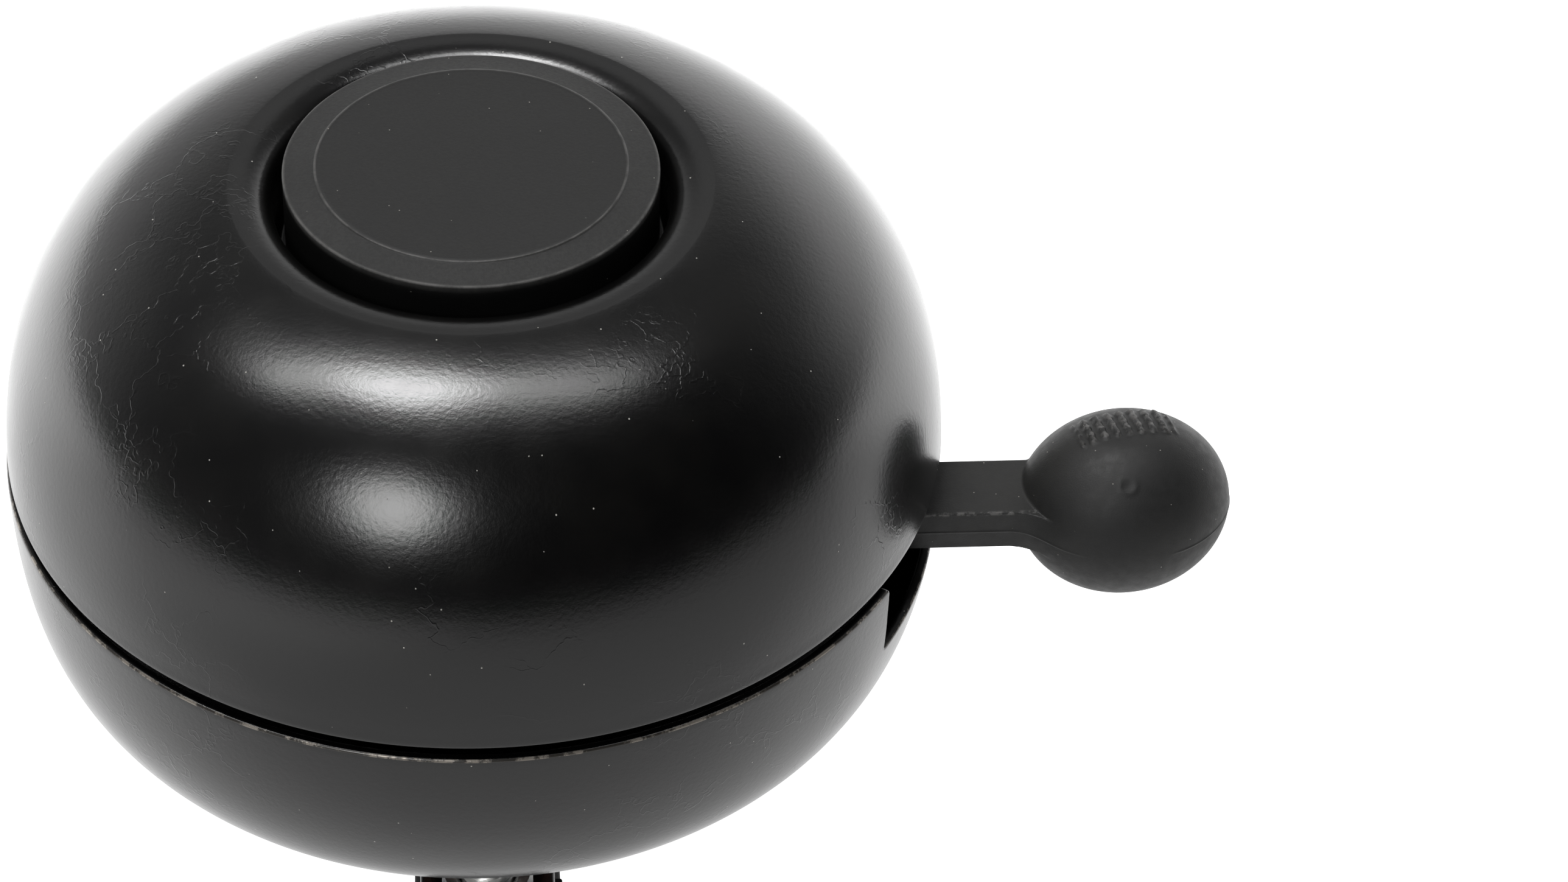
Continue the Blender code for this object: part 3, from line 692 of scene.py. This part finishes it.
def make_lower_bowl():
    """A grid on the bowl's face whose first row follows the rim and dips round the lever's slot."""
    reach, path, outward = lower_profile()
    columns = (*path.T, *outward.T)

    def on_face(azimuth, distance, sunk=0.0):
        """Points and outward normals at a distance down the face, sunk into the sheet."""
        radius, height, out, up = (np.interp(distance, reach, column) for column in columns)
        radius = radius - sunk * out
        height = height - sunk * up
        normal = np.stack([out * np.cos(azimuth), out * np.sin(azimuth), up], axis=-1)
        return np.stack([radius * np.cos(azimuth), radius * np.sin(azimuth), height], axis=-1), normal

    round_trip = math.tau * LOWER_RADIUS
    deep = np.interp(-NOTCH_BOTTOM, -path[:, 1], reach)
    front = LOWER_RADIUS * (math.tau + math.radians(NOTCH_AZIMUTH[0]))
    back = LOWER_RADIUS * (math.tau + math.radians(NOTCH_AZIMUTH[1]))
    seam = LOWER_RADIUS * SEAM
    corners = [(seam, 0.0, 0.0), (front, 0.0, 0.6), (front, deep, 0.7),
               (back, deep, 0.7), (back, 0.0, 1.3), (seam + round_trip, 0.0, 0.0)]
    edge = spaced(fillet(corners, closed=False, steps=8), 0.9)
    steps = np.concatenate([[0.0], np.cumsum(np.linalg.norm(np.diff(edge, axis=0), axis=1))])
    share = (steps / steps[-1])[:-1]
    edge = edge[:-1]
    azimuth = edge[:, 0] / LOWER_RADIUS
    even = SEAM + math.tau * share
    base = deep + 8.0
    rim, normal = on_face(azimuth, edge[:, 1])
    along = np.roll(rim, -1, axis=0) - np.roll(rim, 1, axis=0)
    away = np.cross(normal, along)
    away /= np.linalg.norm(away, axis=1)[:, None]

    def face_rows(sunk):
        rows = [rim - normal * sunk - away * EDGE_ROUND]
        for k in range(1, 19):
            mixed = k / 18
            rows.append(on_face(azimuth + (even - azimuth) * mixed,
                                edge[:, 1] + (base - edge[:, 1]) * mixed, sunk)[0])
        for distance in np.linspace(base, reach[-1], 44)[1:]:
            rows.append(on_face(even, np.full(len(even), distance), sunk)[0])
        return rows

    outer = face_rows(0.0)
    inner = face_rows(SHEET)
    turned_edge = []
    for degrees in range(15, 180, 15):
        turn = math.radians(degrees)
        middle = EDGE_ROUND if degrees < 90 else SHEET - EDGE_ROUND
        sunk = middle - EDGE_ROUND * math.cos(turn)
        out = EDGE_ROUND * (math.sin(turn) - 1.0)
        turned_edge.append(rim - normal * sunk + away * out)
    rows = outer[::-1] + turned_edge + inner
    marks = np.zeros(len(rows))
    marks[len(outer):len(outer) + 4] = 1.0
    mesh = skin("lower_bowl_shell", np.array(rows), loop=True, marks={"edge": marks})
    add_piece("lower_bowl_shell", mesh, "bell_body", "lower_bowl", "bowl_paint")


def make_cap():
    """Low cap: a smooth disc with a fine raised edge, a grained sloping ring, and an ungrained wall, its
    darker colour painted shade.
    """
    disc = CAP_TOP - 0.04
    roof = CAP_TOP - 1.45
    inside = CAP_RADIUS - 1.5
    socket_foot = 20.8
    top = [(0.0, disc), (4.0, disc), (8.0, disc), (CAP_DISC - 0.5, disc),
           (CAP_DISC - 0.24, CAP_TOP - 0.035), (CAP_DISC - 0.13, CAP_TOP),
           (CAP_DISC - 0.05, CAP_TOP - 0.01), (CAP_DISC, CAP_TOP - 0.06),
           (CAP_DISC + 0.03, CAP_TOP - 0.13)]
    ring = [(CAP_DISC + 0.12, CAP_TOP - 0.15), (CAP_DISC + 0.8, CAP_TOP - 0.24),
            (CAP_RADIUS - 0.55, CAP_TOP - 0.43), (CAP_RADIUS - 0.3, CAP_TOP - 0.45)]
    rim = arc(0.2, 80.0, 0.0, 6, (CAP_RADIUS - 0.2, CAP_TOP - 0.66))
    wall = fillet([(CAP_RADIUS, CAP_TOP - 1.2, 0.0), (CAP_RADIUS, CAP_FOOT + 0.4, 0.2),
                   (CAP_RADIUS - 0.4, CAP_FOOT, 0.15), (inside, CAP_FOOT, 0.1), (inside, roof, 0.5),
                   (8.2, roof, 0.4), (8.2, socket_foot, 0.1), (6.8, socket_foot, 0.1),
                   (6.8, roof, 0.3), (0.0, roof, 0.0)], closed=False)
    plain = np.zeros(len(wall))
    # edge mark on the disc's raised edge and the outer rim: wear and painted highlight
    edge = np.concatenate([[0.0] * 5 + [0.8, 0.8, 0.3, 0.0], [0.0] * 4,
                           [0.4, 0.9, 0.9, 0.9, 0.7, 0.4, 0.2], plain])
    # grain mark 0 on the wall: its darker tone there is painted shade
    grain = np.concatenate([[0.45] * 8 + [1.0], [1.0] * 4, [1.0] * 7, plain])
    rows = revolved(np.concatenate([top, ring, rim, wall]), 256)
    mesh = skin("cap_moulding", rows, marks={"edge": edge, "grain": grain})
    add_piece("cap_moulding", mesh, "bell_body", "top_cap", "cap_plastic", sharp=75.0)


# ---------------- gears and lever

def involute(angle):
    return math.tan(angle) - angle


def half_tooth(radius, teeth, pitch_radius):
    """Half the angle that a tooth takes up at a radius."""
    base = pitch_radius * math.cos(PRESSURE_ANGLE)
    slope = math.acos(base / max(radius, base))
    return math.pi * 0.45 / teeth + involute(PRESSURE_ANGLE) - involute(slope)


def gear_outline(teeth, kept, first):
    """Teeth in kept, counted from the one at angle first; plain root circle elsewhere."""
    pitch_radius = MODULE * teeth / 2
    root = pitch_radius - 1.0
    tip = pitch_radius + 0.8
    radii = np.linspace(root, tip, 7)
    points = []
    for count in range(teeth):
        middle = math.radians(first) + math.tau * count / teeth
        if count in kept:
            spread = [(r, half_tooth(r, teeth, pitch_radius)) for r in radii]
            points += [(r, middle - half) for r, half in spread]
            points += [(r, middle + half) for r, half in reversed(spread)]
        else:
            points += [(root, middle + math.tau * k / teeth / 4) for k in range(4)]
    return np.array([(r * math.cos(a), r * math.sin(a)) for r, a in points])


def rounded_box(spot, low, high, radius):
    """Signed distance to a box with rounded edges."""
    away = np.abs(spot - (low + high) / 2) - ((high - low) / 2 - radius)
    outside = np.linalg.norm(np.maximum(away, 0.0), axis=-1)
    return outside + np.minimum(away.max(axis=-1), 0.0) - radius


def smooth_step(value, start, end):
    t = np.clip((value - start) / (end - start), 0.0, 1.0)
    return t * t * (3 - 2 * t)


def soft_union(a, b, reach):
    """The smaller of two distances, blended where they are within reach of each other."""
    share = np.clip(0.5 + 0.5 * (b - a) / reach, 0.0, 1.0)
    return b + (a - b) * share - reach * share * (1 - share)


def bell_curve(value, width):
    return np.exp(-(value / width) ** 2)


def knob_frame(spot):
    """Places in the knob's own frame, their height along its top's normal, and 1 on the grip ribs."""
    turn = math.radians(KNOB_TURN)
    lean = math.radians(FACET_LEAN)
    x, y, z = np.moveaxis(spot - np.array(KNOB_CENTRE), -1, 0)
    along = x * math.cos(turn) + y * math.sin(turn)
    aside = y * math.cos(turn) - x * math.sin(turn)
    up = aside * math.sin(lean) + z * math.cos(lean)
    across = aside * math.cos(lean) - z * math.sin(lean)
    window = smooth_step(4.3 - np.abs(along), 0.0, 0.25)
    window = window * smooth_step(2.0 - np.abs(across - 0.35), 0.0, 0.3)
    ribs = smooth_step(np.cos(along * math.tau / RIB_PITCH), -0.2, 0.5)
    return np.stack([along, aside, z], axis=-1), up, ribs * window * (up > 4.0)


def lever_distance(spot):
    """Signed distance to the lever's arm and knob, mould details included."""
    x, y, z = spot[..., 0], spot[..., 1], spot[..., 2]
    local, up, ribs = knob_frame(spot)
    half = np.array(KNOB_HALF)
    inside = np.linalg.norm(local / half, axis=-1)
    knob = inside * (inside - 1.0) / np.maximum(np.linalg.norm(local / half ** 2, axis=-1), 1e-9)
    knob = -soft_union(-knob, FACET_REACH - up, 0.5)
    knob = knob - RIB_HEIGHT * ribs
    gate = np.linalg.norm(local - np.array(GATE_SPOT), axis=-1)
    scar = smooth_step(GATE_SPOT[2] + 0.2 - local[..., 2], -0.4, 0.3)
    knob = knob - 0.09 * bell_curve(gate - GATE_RING, 0.15) * scar + 0.07 * bell_curve(gate, 0.3)
    taper = np.maximum(PARTING - z, 0.0) * 0.05 + np.maximum(z - PARTING, 0.0) * 0.012
    squeezed = np.stack([x, ARM_Y + (y - ARM_Y) * (1.0 + taper / ARM_HALF_WIDTH), z], axis=-1)
    low = np.array((ARM_START - 2.0, ARM_Y - ARM_HALF_WIDTH, ARM_LOW))
    high = np.array((ARM_END, ARM_Y + ARM_HALF_WIDTH, ARM_HIGH))
    taller = np.array((0.0, 0.0, 20.0))
    arm = rounded_box(squeezed, low, high, ARM_ROUND)
    sides = rounded_box(squeezed, low - taller, high + taller, ARM_ROUND)
    web = soft_union(sides, knob, WEB_REACH)
    web = np.maximum(web, np.maximum(z - ARM_HIGH, ARM_LOW - z))
    web = np.where(y < KNOB_CENTRE[1], web, 1.0)
    joined = np.minimum(soft_union(arm, knob, 0.25), web)
    fade = 1.0 - smooth_step(x, 49.0, 52.5) * (1.0 - smooth_step(x, 58.5, 60.5))
    return joined - 0.055 * bell_curve(z - PARTING, 0.09) * fade


def lever_rows():
    """Rows of points round the lever, from hub to tip, found along rays from its middle."""
    turn = math.radians(KNOB_TURN)
    half_x = math.hypot(KNOB_HALF[0] * math.cos(turn), KNOB_HALF[1] * math.sin(turn))
    skew = (KNOB_HALF[0] ** 2 - KNOB_HALF[1] ** 2) * math.sin(turn) * math.cos(turn) / half_x
    arm_end = KNOB_CENTRE[0] - half_x
    round_knob = np.radians(np.concatenate([np.arange(3.0, 178.0, 1.25), [178.6, 179.4]]))
    stations = np.concatenate([np.linspace(ARM_START, arm_end - 3.0, 24),
                               np.linspace(arm_end - 2.8, arm_end - 0.2, 12),
                               KNOB_CENTRE[0] - half_x * np.cos(round_knob)])
    fine = np.array([0.5, 1.0, 2.0, 2.5, 3.5])
    corners = np.array([149.5, 31.0, 208.5, 331.5])
    spread = np.array([-2.2, -1.1, -0.5, 0.5, 1.1, 2.2])
    turns = np.concatenate([np.arange(0.0, 360.0, 1.5), fine, 180.0 + fine, 180.0 - fine, 360.0 - fine,
                            (corners[:, None] + spread).ravel()])
    turns = np.radians(np.unique(turns.round(3)))
    middle_y = ARM_Y + skew * np.clip((stations - KNOB_CENTRE[0]) / half_x, -1.0, 1.0)
    centre = np.stack([stations, middle_y, np.full(len(stations), PARTING)], axis=1)[:, None, :]
    ray = np.stack([np.zeros(len(turns)), np.cos(turns), np.sin(turns)], axis=1)[None, :, :]
    near = np.zeros((len(stations), len(turns)))
    far = np.full_like(near, 11.0)
    for _ in range(34):
        middle = (near + far) / 2
        within = lever_distance(centre + ray * middle[..., None]) < 0.0
        near = np.where(within, middle, near)
        far = np.where(within, far, middle)
    rows = centre + ray * near[..., None]
    tip = np.array([KNOB_CENTRE[0] + half_x, ARM_Y + skew, PARTING])
    return np.concatenate([rows, np.broadcast_to(tip, (1, *rows.shape[1:]))])


def make_lever():
    rows = lever_rows()
    x, y, z = rows[..., 0], rows[..., 1], rows[..., 2]
    # edge mark on the front top edge and the rib crests: wear and painted highlight
    corner = bell_curve(z - ARM_HIGH + 0.08, 0.14) * bell_curve(y - ARM_Y + ARM_HALF_WIDTH - 0.10, 0.14)
    corner = corner * (x < KNOB_CENTRE[0] - 6.0) + 0.55 * knob_frame(rows)[2]
    start = np.repeat(rows[:1].mean(axis=1, keepdims=True), rows.shape[1], axis=1)
    rows = np.concatenate([start, rows])
    corner = np.concatenate([np.zeros((1, rows.shape[1])), corner])
    arm = skin("lever_moulding", rows, marks={"edge": corner})
    outline = gear_outline(SECTOR_TEETH, SECTOR_KEPT, 180.0 + 180.0 / SECTOR_TEETH)
    hub = raised("hub", outline, *HUB)
    hub = combined(hub, cylinder(HUB_BORE, HUB[0] - 1.0, HUB[1] + 1.0, steps=96), "DIFFERENCE")
    azimuth = math.radians(SOCKET_AZIMUTH)
    socket = SOCKET_RADIUS * np.array((math.cos(azimuth), math.sin(azimuth)))
    hub = combined(hub, cylinder(0.75, HUB[0] - 1.0, HUB[1] + 1.0, tuple(socket), 24), "DIFFERENCE")
    mesh = combined(arm, hub, "UNION")
    mesh.name = "lever_moulding"
    add_piece("lever_moulding", mesh, "lever", "thumb_lever", "lever_plastic", sharp=50.0)


# ---------------- centre stack

def make_rings():
    """Washers, tubes and bushes: each from its node's box, with its own bore and rounded edges."""
    rings = (
        ("lower_bowl_seat_bottom", POST_BORE, 0.12, "fibre"),
        ("lower_bowl_seat_top", POST_BORE, 0.12, "fibre"),
        ("lower_spacer", POST_BORE, 0.25, "zinc_steel"),
        ("thrust_washer", 4.8, 0.10, "gear_plastic"),
        ("lever_bush", POST_BORE, 0.20, "zinc_steel"),
        ("lever_retainer", POST_BORE, 0.18, "zinc_steel"),
        ("upper_spacer", POST_BORE, 0.25, "zinc_steel"),
        ("upper_bowl_seat_bottom", POST_BORE, 0.10, "fibre"),
        ("upper_bowl_seat_top", POST_BORE, 0.10, "fibre"),
        ("top_washer", POST_BORE, 0.15, "zinc_steel"),
        ("rest_bumper", 1.4, 0.45, "rubber"),
        ("press_bumper", 1.4, 0.45, "rubber"),
        ("hammer_clip", 1.7, 0.10, "spring_steel"),
        ("arm_spacer", 3.6, 0.06, "zinc_steel"),
    )
    for node, bore, rounding, slot in rings:
        body = "hammer" if node == "arm_spacer" else "bell_body"
        low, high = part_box(node)
        centre = (low + high) / 2
        radius = (high.x - low.x) / 2 / MM
        half = (high.z - low.z) / 2 / MM
        corners = [(bore, half, rounding * 0.6), (radius, half, rounding), (radius, -half, rounding),
                   (bore, -half, rounding * 0.6)]
        mesh = turned(node + "_ring", corners, 96)
        add_piece(node + "_ring", mesh, body, node, slot, tuple(centre / MM))


def make_post():
    _, low, high = cad_size("centre_post")
    top = high - RIM_LEVEL
    foot = low - RIM_LEVEL
    head = foot + 2.6
    corners = [(0.0, foot, 0.0), (4.9, foot, 0.5), (5.5, foot + 0.6, 0.3),
               (5.5, head, 0.35), (POST_RADIUS, head, 0.0), (POST_RADIUS, 19.0, 0.0)]
    shank = revolved(fillet(corners, closed=False), 64)
    thread = threaded_rows(POST_RADIUS, 19.2, top - 0.4, 1.0)
    end = revolved(np.array([(POST_RADIUS - 0.55, top), (0.0, top)]), 64)
    mesh = skin("centre_post_stud", np.concatenate([shank, thread, end]))
    add_piece("centre_post_stud", mesh, "bell_body", "centre_post", "zinc_steel")
    _, low, high = cad_size("top_nut")
    nut = nut_mesh("top_nut_hex", 6, 10.0, POST_BORE, low - RIM_LEVEL, high - RIM_LEVEL, 30.0)
    add_piece("top_nut_hex", nut, "bell_body", "top_nut", "zinc_steel", sharp=25.0)


def make_spring():
    """Torsion spring. It twists between the plate's anchor and the lever's hub."""
    low, high = -0.4, 4.2
    turns = 3 + 5 / 6
    steps = round(turns * 40)
    radius = 6.3
    angle = np.radians(SOCKET_AZIMUTH + 360.0 * turns * np.arange(steps + 1) / steps)
    climb = np.linspace(low, high, steps + 1)
    coil = np.stack([radius * np.cos(angle), radius * np.sin(angle), climb], axis=1)
    along = np.array((math.cos(angle[0]), math.sin(angle[0]), 0.0))
    foot = np.array([SOCKET_RADIUS * along + (0, 0, HUB[0] + 1.5),
                     SOCKET_RADIUS * along + (0, 0, low - 0.7), 8.2 * along + (0, 0, low)])
    leg = np.array([(radius, 6.0, high), (radius, 12.5, high)])
    ends = smoothed(spaced(np.concatenate([foot, coil[:1]]), 0.5), 2)
    path = np.concatenate([ends[:-1], coil, spaced(leg, 0.5)])
    mesh = tube("return_spring_coil", path, 0.45)
    piece = add_piece("return_spring_coil", mesh, None, "return_spring", "spring_steel")
    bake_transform(piece)


# ---------------- handlebar clamp

def swept(name, middle, width, thickness, rounding, narrowing=None):
    """A strap along a path of (y, z) points, drawn out along X, its section a rounded rectangle."""
    x = width / 2
    y = thickness / 2
    corners = [(-x, -y, rounding), (x, -y, rounding), (x, y, rounding), (-x, y, rounding)]
    section = fillet(corners, steps=4)
    section = spaced(np.concatenate([section, section[:1]]), 1.5)[:-1]
    along = np.gradient(middle, axis=0)
    along /= np.linalg.norm(along, axis=1)[:, None]
    rows = []
    if narrowing is None:
        narrowing = np.ones(len(middle))
    for (y, z), (dy, dz), shrink in zip(middle, along, narrowing):
        x, out = section.T
        rows.append(np.stack([x * shrink, y - dz * out, z + dy * out], axis=1))
    return skin(name, np.array(rows), capped=True)


def make_band():
    shoulder = 40.0
    ear_root = 162.0
    bend = 1.5
    neck = np.array([(-BAND_RADIUS - 0.2, EAR_HEIGHT + 0.6), (-BAND_RADIUS - 1.6, EAR_HEIGHT),
                     (-BAND_RADIUS - 4.0, EAR_HEIGHT), (EAR_END, EAR_HEIGHT)])
    middle = np.concatenate([
        neck[::-1], arc(BAND_RADIUS, ear_root, 180.0 - shoulder, 6),
        arc(bend, 170.0, 90.0, 6, (bend - PLATFORM_HALF, PLATFORM - bend)),
        arc(bend, 90.0, 10.0, 6, (PLATFORM_HALF - bend, PLATFORM - bend)),
        arc(BAND_RADIUS, shoulder, -ear_root, 60), neck * np.array((1.0, -1.0)),
    ])
    middle = spaced(smoothed(middle, 3), 0.8)
    from_end = np.abs(middle[:, 0] - EAR_END)
    corner = 2.6
    bite = np.maximum(corner - from_end, 0.0)
    narrowing = 1.0 - (corner - np.sqrt(np.maximum(corner ** 2 - bite ** 2, 0.0))) / (BAND_WIDTH / 2)
    mesh = swept("clamp_strap", middle, BAND_WIDTH, BAND_THICKNESS, 0.3, narrowing)
    mesh = combined(mesh, cylinder(POST_BORE, PLATFORM - 2.0, PLATFORM + 2.0), "DIFFERENCE")
    mesh = combined(mesh, cylinder(SCREW_RADIUS + 0.3, -8.0, 8.0, (0.0, SCREW_Y)), "DIFFERENCE")
    add_piece("clamp_strap", mesh, "bell_body", "clamp_band", "bowl_paint", AT_BAR)


def make_liner():
    middle = arc(11.55, 194.0, 526.0, 120)
    mesh = swept("clamp_liner_sleeve", middle, 13.6, 0.9, 0.25)
    add_piece("clamp_liner_sleeve", mesh, "bell_body", "clamp_liner", "rubber", AT_BAR)


def make_screw():
    _, foot, tip = cad_size("clamp_screw")
    face = foot + 3.2
    corners = [(0.0, foot, 0.0), (2.6, foot, 0.8), (4.2, foot + 1.1, 0.5),
               (4.2, face, 0.2), (SCREW_RADIUS, face, 0.0)]
    head = revolved(fillet(corners, closed=False), 64)
    thread = threaded_rows(SCREW_RADIUS, face + 0.2, tip - 0.35, SCREW_PITCH)
    end = revolved(np.array([(SCREW_RADIUS - 0.6, tip), (0.0, tip)]), 64)
    mesh = skin("clamp_bolt", np.concatenate([head, thread, end]))
    outline = np.array([(-6.0, -0.6), (6.0, -0.6), (6.0, 0.6), (-6.0, 0.6)])
    slot = raised("slot", outline, foot - 1.0, foot + 1.2)
    mesh = combined(mesh, slot, "DIFFERENCE")
    place = (0.0, SCREW_Y, 0.0)
    add_piece("clamp_bolt", mesh, "bell_body", "clamp_screw", "zinc_steel", place, 30.0)
    _, low, high = cad_size("clamp_nut")
    nut = nut_mesh("clamp_nut_square", 4, 8.0, SCREW_RADIUS + 0.2, low, high)
    add_piece("clamp_nut_square", nut, "bell_body", "clamp_nut", "zinc_steel", place, 25.0)


# ---------------- carried-over nodes

def finish_kept_nodes():
    """CAD nodes whose shape stays: softened edges and their own finish."""
    slots = {
        "mechanism_plate": "zinc_steel", "hammer_pin": "zinc_steel", "hammer_rocker": "gear_plastic",
        "upper_hammer_arm": "spring_steel", "lower_hammer_arm": "spring_steel",
        "upper_hammer_head": "zinc_steel", "lower_hammer_head": "zinc_steel",
    }
    for node, slot in slots.items():
        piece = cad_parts[node]
        piece.data.materials.clear()
        piece.data.materials.append(LOOKS[slot])
        weld = piece.modifiers.new("weld", "WELD")
        weld.merge_threshold = 1e-6
        bevel = piece.modifiers.new("bevel", "BEVEL")
        bevel.width = 0.12 * MM
        bevel.segments = 2
        bevel.limit_method = "ANGLE"
        bevel.angle_limit = math.radians(40.0)


# ---------------- stage

def room():
    """Surroundings: white to the eye, and a dim studio in what the bell reflects."""
    world = bpy.data.worlds.new("studio")
    bpy.context.scene.world = world
    world.use_nodes = True
    world.node_tree.nodes.clear()
    graph = Graph(world.node_tree)
    new = graph.tree.nodes.new
    seen = new("ShaderNodeBackground")
    seen.inputs["Color"].default_value = (1.0, 1.0, 1.0, 1.0)
    dim = new("ShaderNodeBackground")
    split = new("ShaderNodeSeparateXYZ")
    graph.join(split.inputs[0], new("ShaderNodeTexCoord").outputs["Generated"])
    x, y, z = split.outputs
    wall = graph.ramp(y, -0.35, 0.7, 0.012, 0.26)
    wall = graph.math("ADD", wall, graph.ramp(x, -0.3, -0.95, 0.0, 0.12))
    glow = graph.math("MULTIPLY", graph.ramp(z, 0.68, 0.20), graph.ramp(y, 0.0, 0.80, 0.0, 1.1))
    glow = graph.math("MULTIPLY", glow, graph.ramp(x, -0.4, 0.5, 0.7, 1.9))
    graph.join(dim.inputs["Strength"], graph.math("ADD", wall, glow))
    mix = new("ShaderNodeMixShader")
    graph.join(mix.inputs[0], new("ShaderNodeLightPath").outputs["Is Camera Ray"])
    graph.join(mix.inputs[1], dim.outputs[0])
    graph.join(mix.inputs[2], seen.outputs[0])
    graph.join(new("ShaderNodeOutputWorld").inputs["Surface"], mix.outputs[0])


def make_floor():
    # The floor glows, unevenly: its emission, dimmer in front and brighter behind and to the left, is
    # painted light that lights the bell and shows in its reflections.
    look = Finish("glowing_floor", (0.35, 0.35, 0.35), 0.9)
    look.set("Specular IOR Level", 0.0)
    look.set("Emission Color", (1.0, 1.0, 1.0, 1.0))
    split = look.tree.nodes.new("ShaderNodeSeparateXYZ")
    look.join(split.inputs[0], look.place)
    ahead = look.ramp(split.outputs["Y"], -90.0, 10.0, 0.46, 1.05)
    behind = look.ramp(split.outputs["Y"], 20.0, 140.0, 0.0, 0.9)
    aside = look.ramp(split.outputs["X"], -60.0, -250.0, 0.0, 0.45)
    grain = look.ramp(look.noise(0.02, 4.0, 0.6), 0.3, 0.7, -0.01, 0.01)
    glow = look.math("ADD", look.math("ADD", ahead, behind), look.math("ADD", aside, grain))
    look.set("Emission Strength", glow)
    bpy.ops.mesh.primitive_grid_add(x_subdivisions=8, y_subdivisions=8, size=60.0)
    floor = bpy.context.object
    floor.name = "floor"
    floor.location.z = CAD_BOUNDS[0].z - 0.0003
    floor.data.materials.append(look.material)


def softbox(name, azimuth, elevation, width, height, radiance, distance=1.2):
    """A lamp in a direction from the bell, azimuth from -Y to +X, its sizes in radians."""
    light = bpy.data.lights.new(name, "AREA")
    light.shape = "ELLIPSE"
    light.size = width * distance
    light.size_y = height * distance
    light.energy = radiance * math.pi * (math.pi / 4 * light.size * light.size_y)
    lamp = bpy.data.objects.new(name, light)
    bpy.context.scene.collection.objects.link(lamp)
    a = math.radians(azimuth)
    e = math.radians(elevation)
    away = Vector((math.sin(a) * math.cos(e), -math.cos(a) * math.cos(e), math.sin(e)))
    side = (Vector((1.0, 0.0, 0.0)) - away * away.x).normalized()
    turn = Matrix((side, away.cross(side), away)).transposed()
    lamp.matrix_world = Matrix.Translation(Vector(AT_RIM) * MM + away * distance) @ turn.to_4x4()
    lamp.visible_camera = False


def make_lights():
    softbox("overhead_core", -111.8, 79.8, 0.30, 0.25, 24.0)
    softbox("overhead_left", -106.5, 66.8, 0.44, 0.19, 10.0)
    softbox("overhead_right", 115.0, 82.0, 0.62, 0.22, 7.5)
    softbox("front_left", -24.3, 41.3, 0.33, 0.42, 12.0)
    softbox("back_high", 180.0, 47.0, 0.42, 0.28, 0.5)


def make_camera():
    """The viewpoint: in front and above, turned a little so that the bell sits left of the middle."""
    e, yaw, pitch, roll = (math.radians(v) for v in
                           (CAMERA_ELEVATION, CAMERA_YAW, CAMERA_PITCH, CAMERA_ROLL))
    back = Vector((0.0, -math.cos(e), math.sin(e)))
    right = Vector((1.0, 0.0, 0.0))
    up = back.cross(right)
    ahead = -back
    right_1 = right * math.cos(yaw) - ahead * math.sin(yaw)
    ahead_1 = right * math.sin(yaw) + ahead * math.cos(yaw)
    up_2 = up * math.cos(pitch) - ahead_1 * math.sin(pitch)
    ahead_2 = up * math.sin(pitch) + ahead_1 * math.cos(pitch)
    side = right_1 * math.cos(roll) - up_2 * math.sin(roll)
    top = right_1 * math.sin(roll) + up_2 * math.cos(roll)
    turn = Matrix((side, top, -ahead_2)).transposed()
    camera = bpy.data.cameras.new("camera")
    camera.sensor_width = 36.0
    camera.lens = CAMERA_LENS
    camera.clip_start = 0.01
    holder = bpy.data.objects.new("camera", camera)
    bpy.context.scene.collection.objects.link(holder)
    place = (back * CAMERA_DISTANCE + Vector(AT_RIM)) * MM
    holder.matrix_world = Matrix.Translation(place) @ turn.to_4x4()
    bpy.context.scene.camera = holder


make_camera()
room()
make_floor()
make_lights()
make_upper_bowl()
make_lower_bowl()
make_cap()
make_lever()
make_rings()
make_post()
make_spring()
make_band()
make_liner()
make_screw()
finish_kept_nodes()
bpy.context.scene.view_settings.view_transform = "Standard"
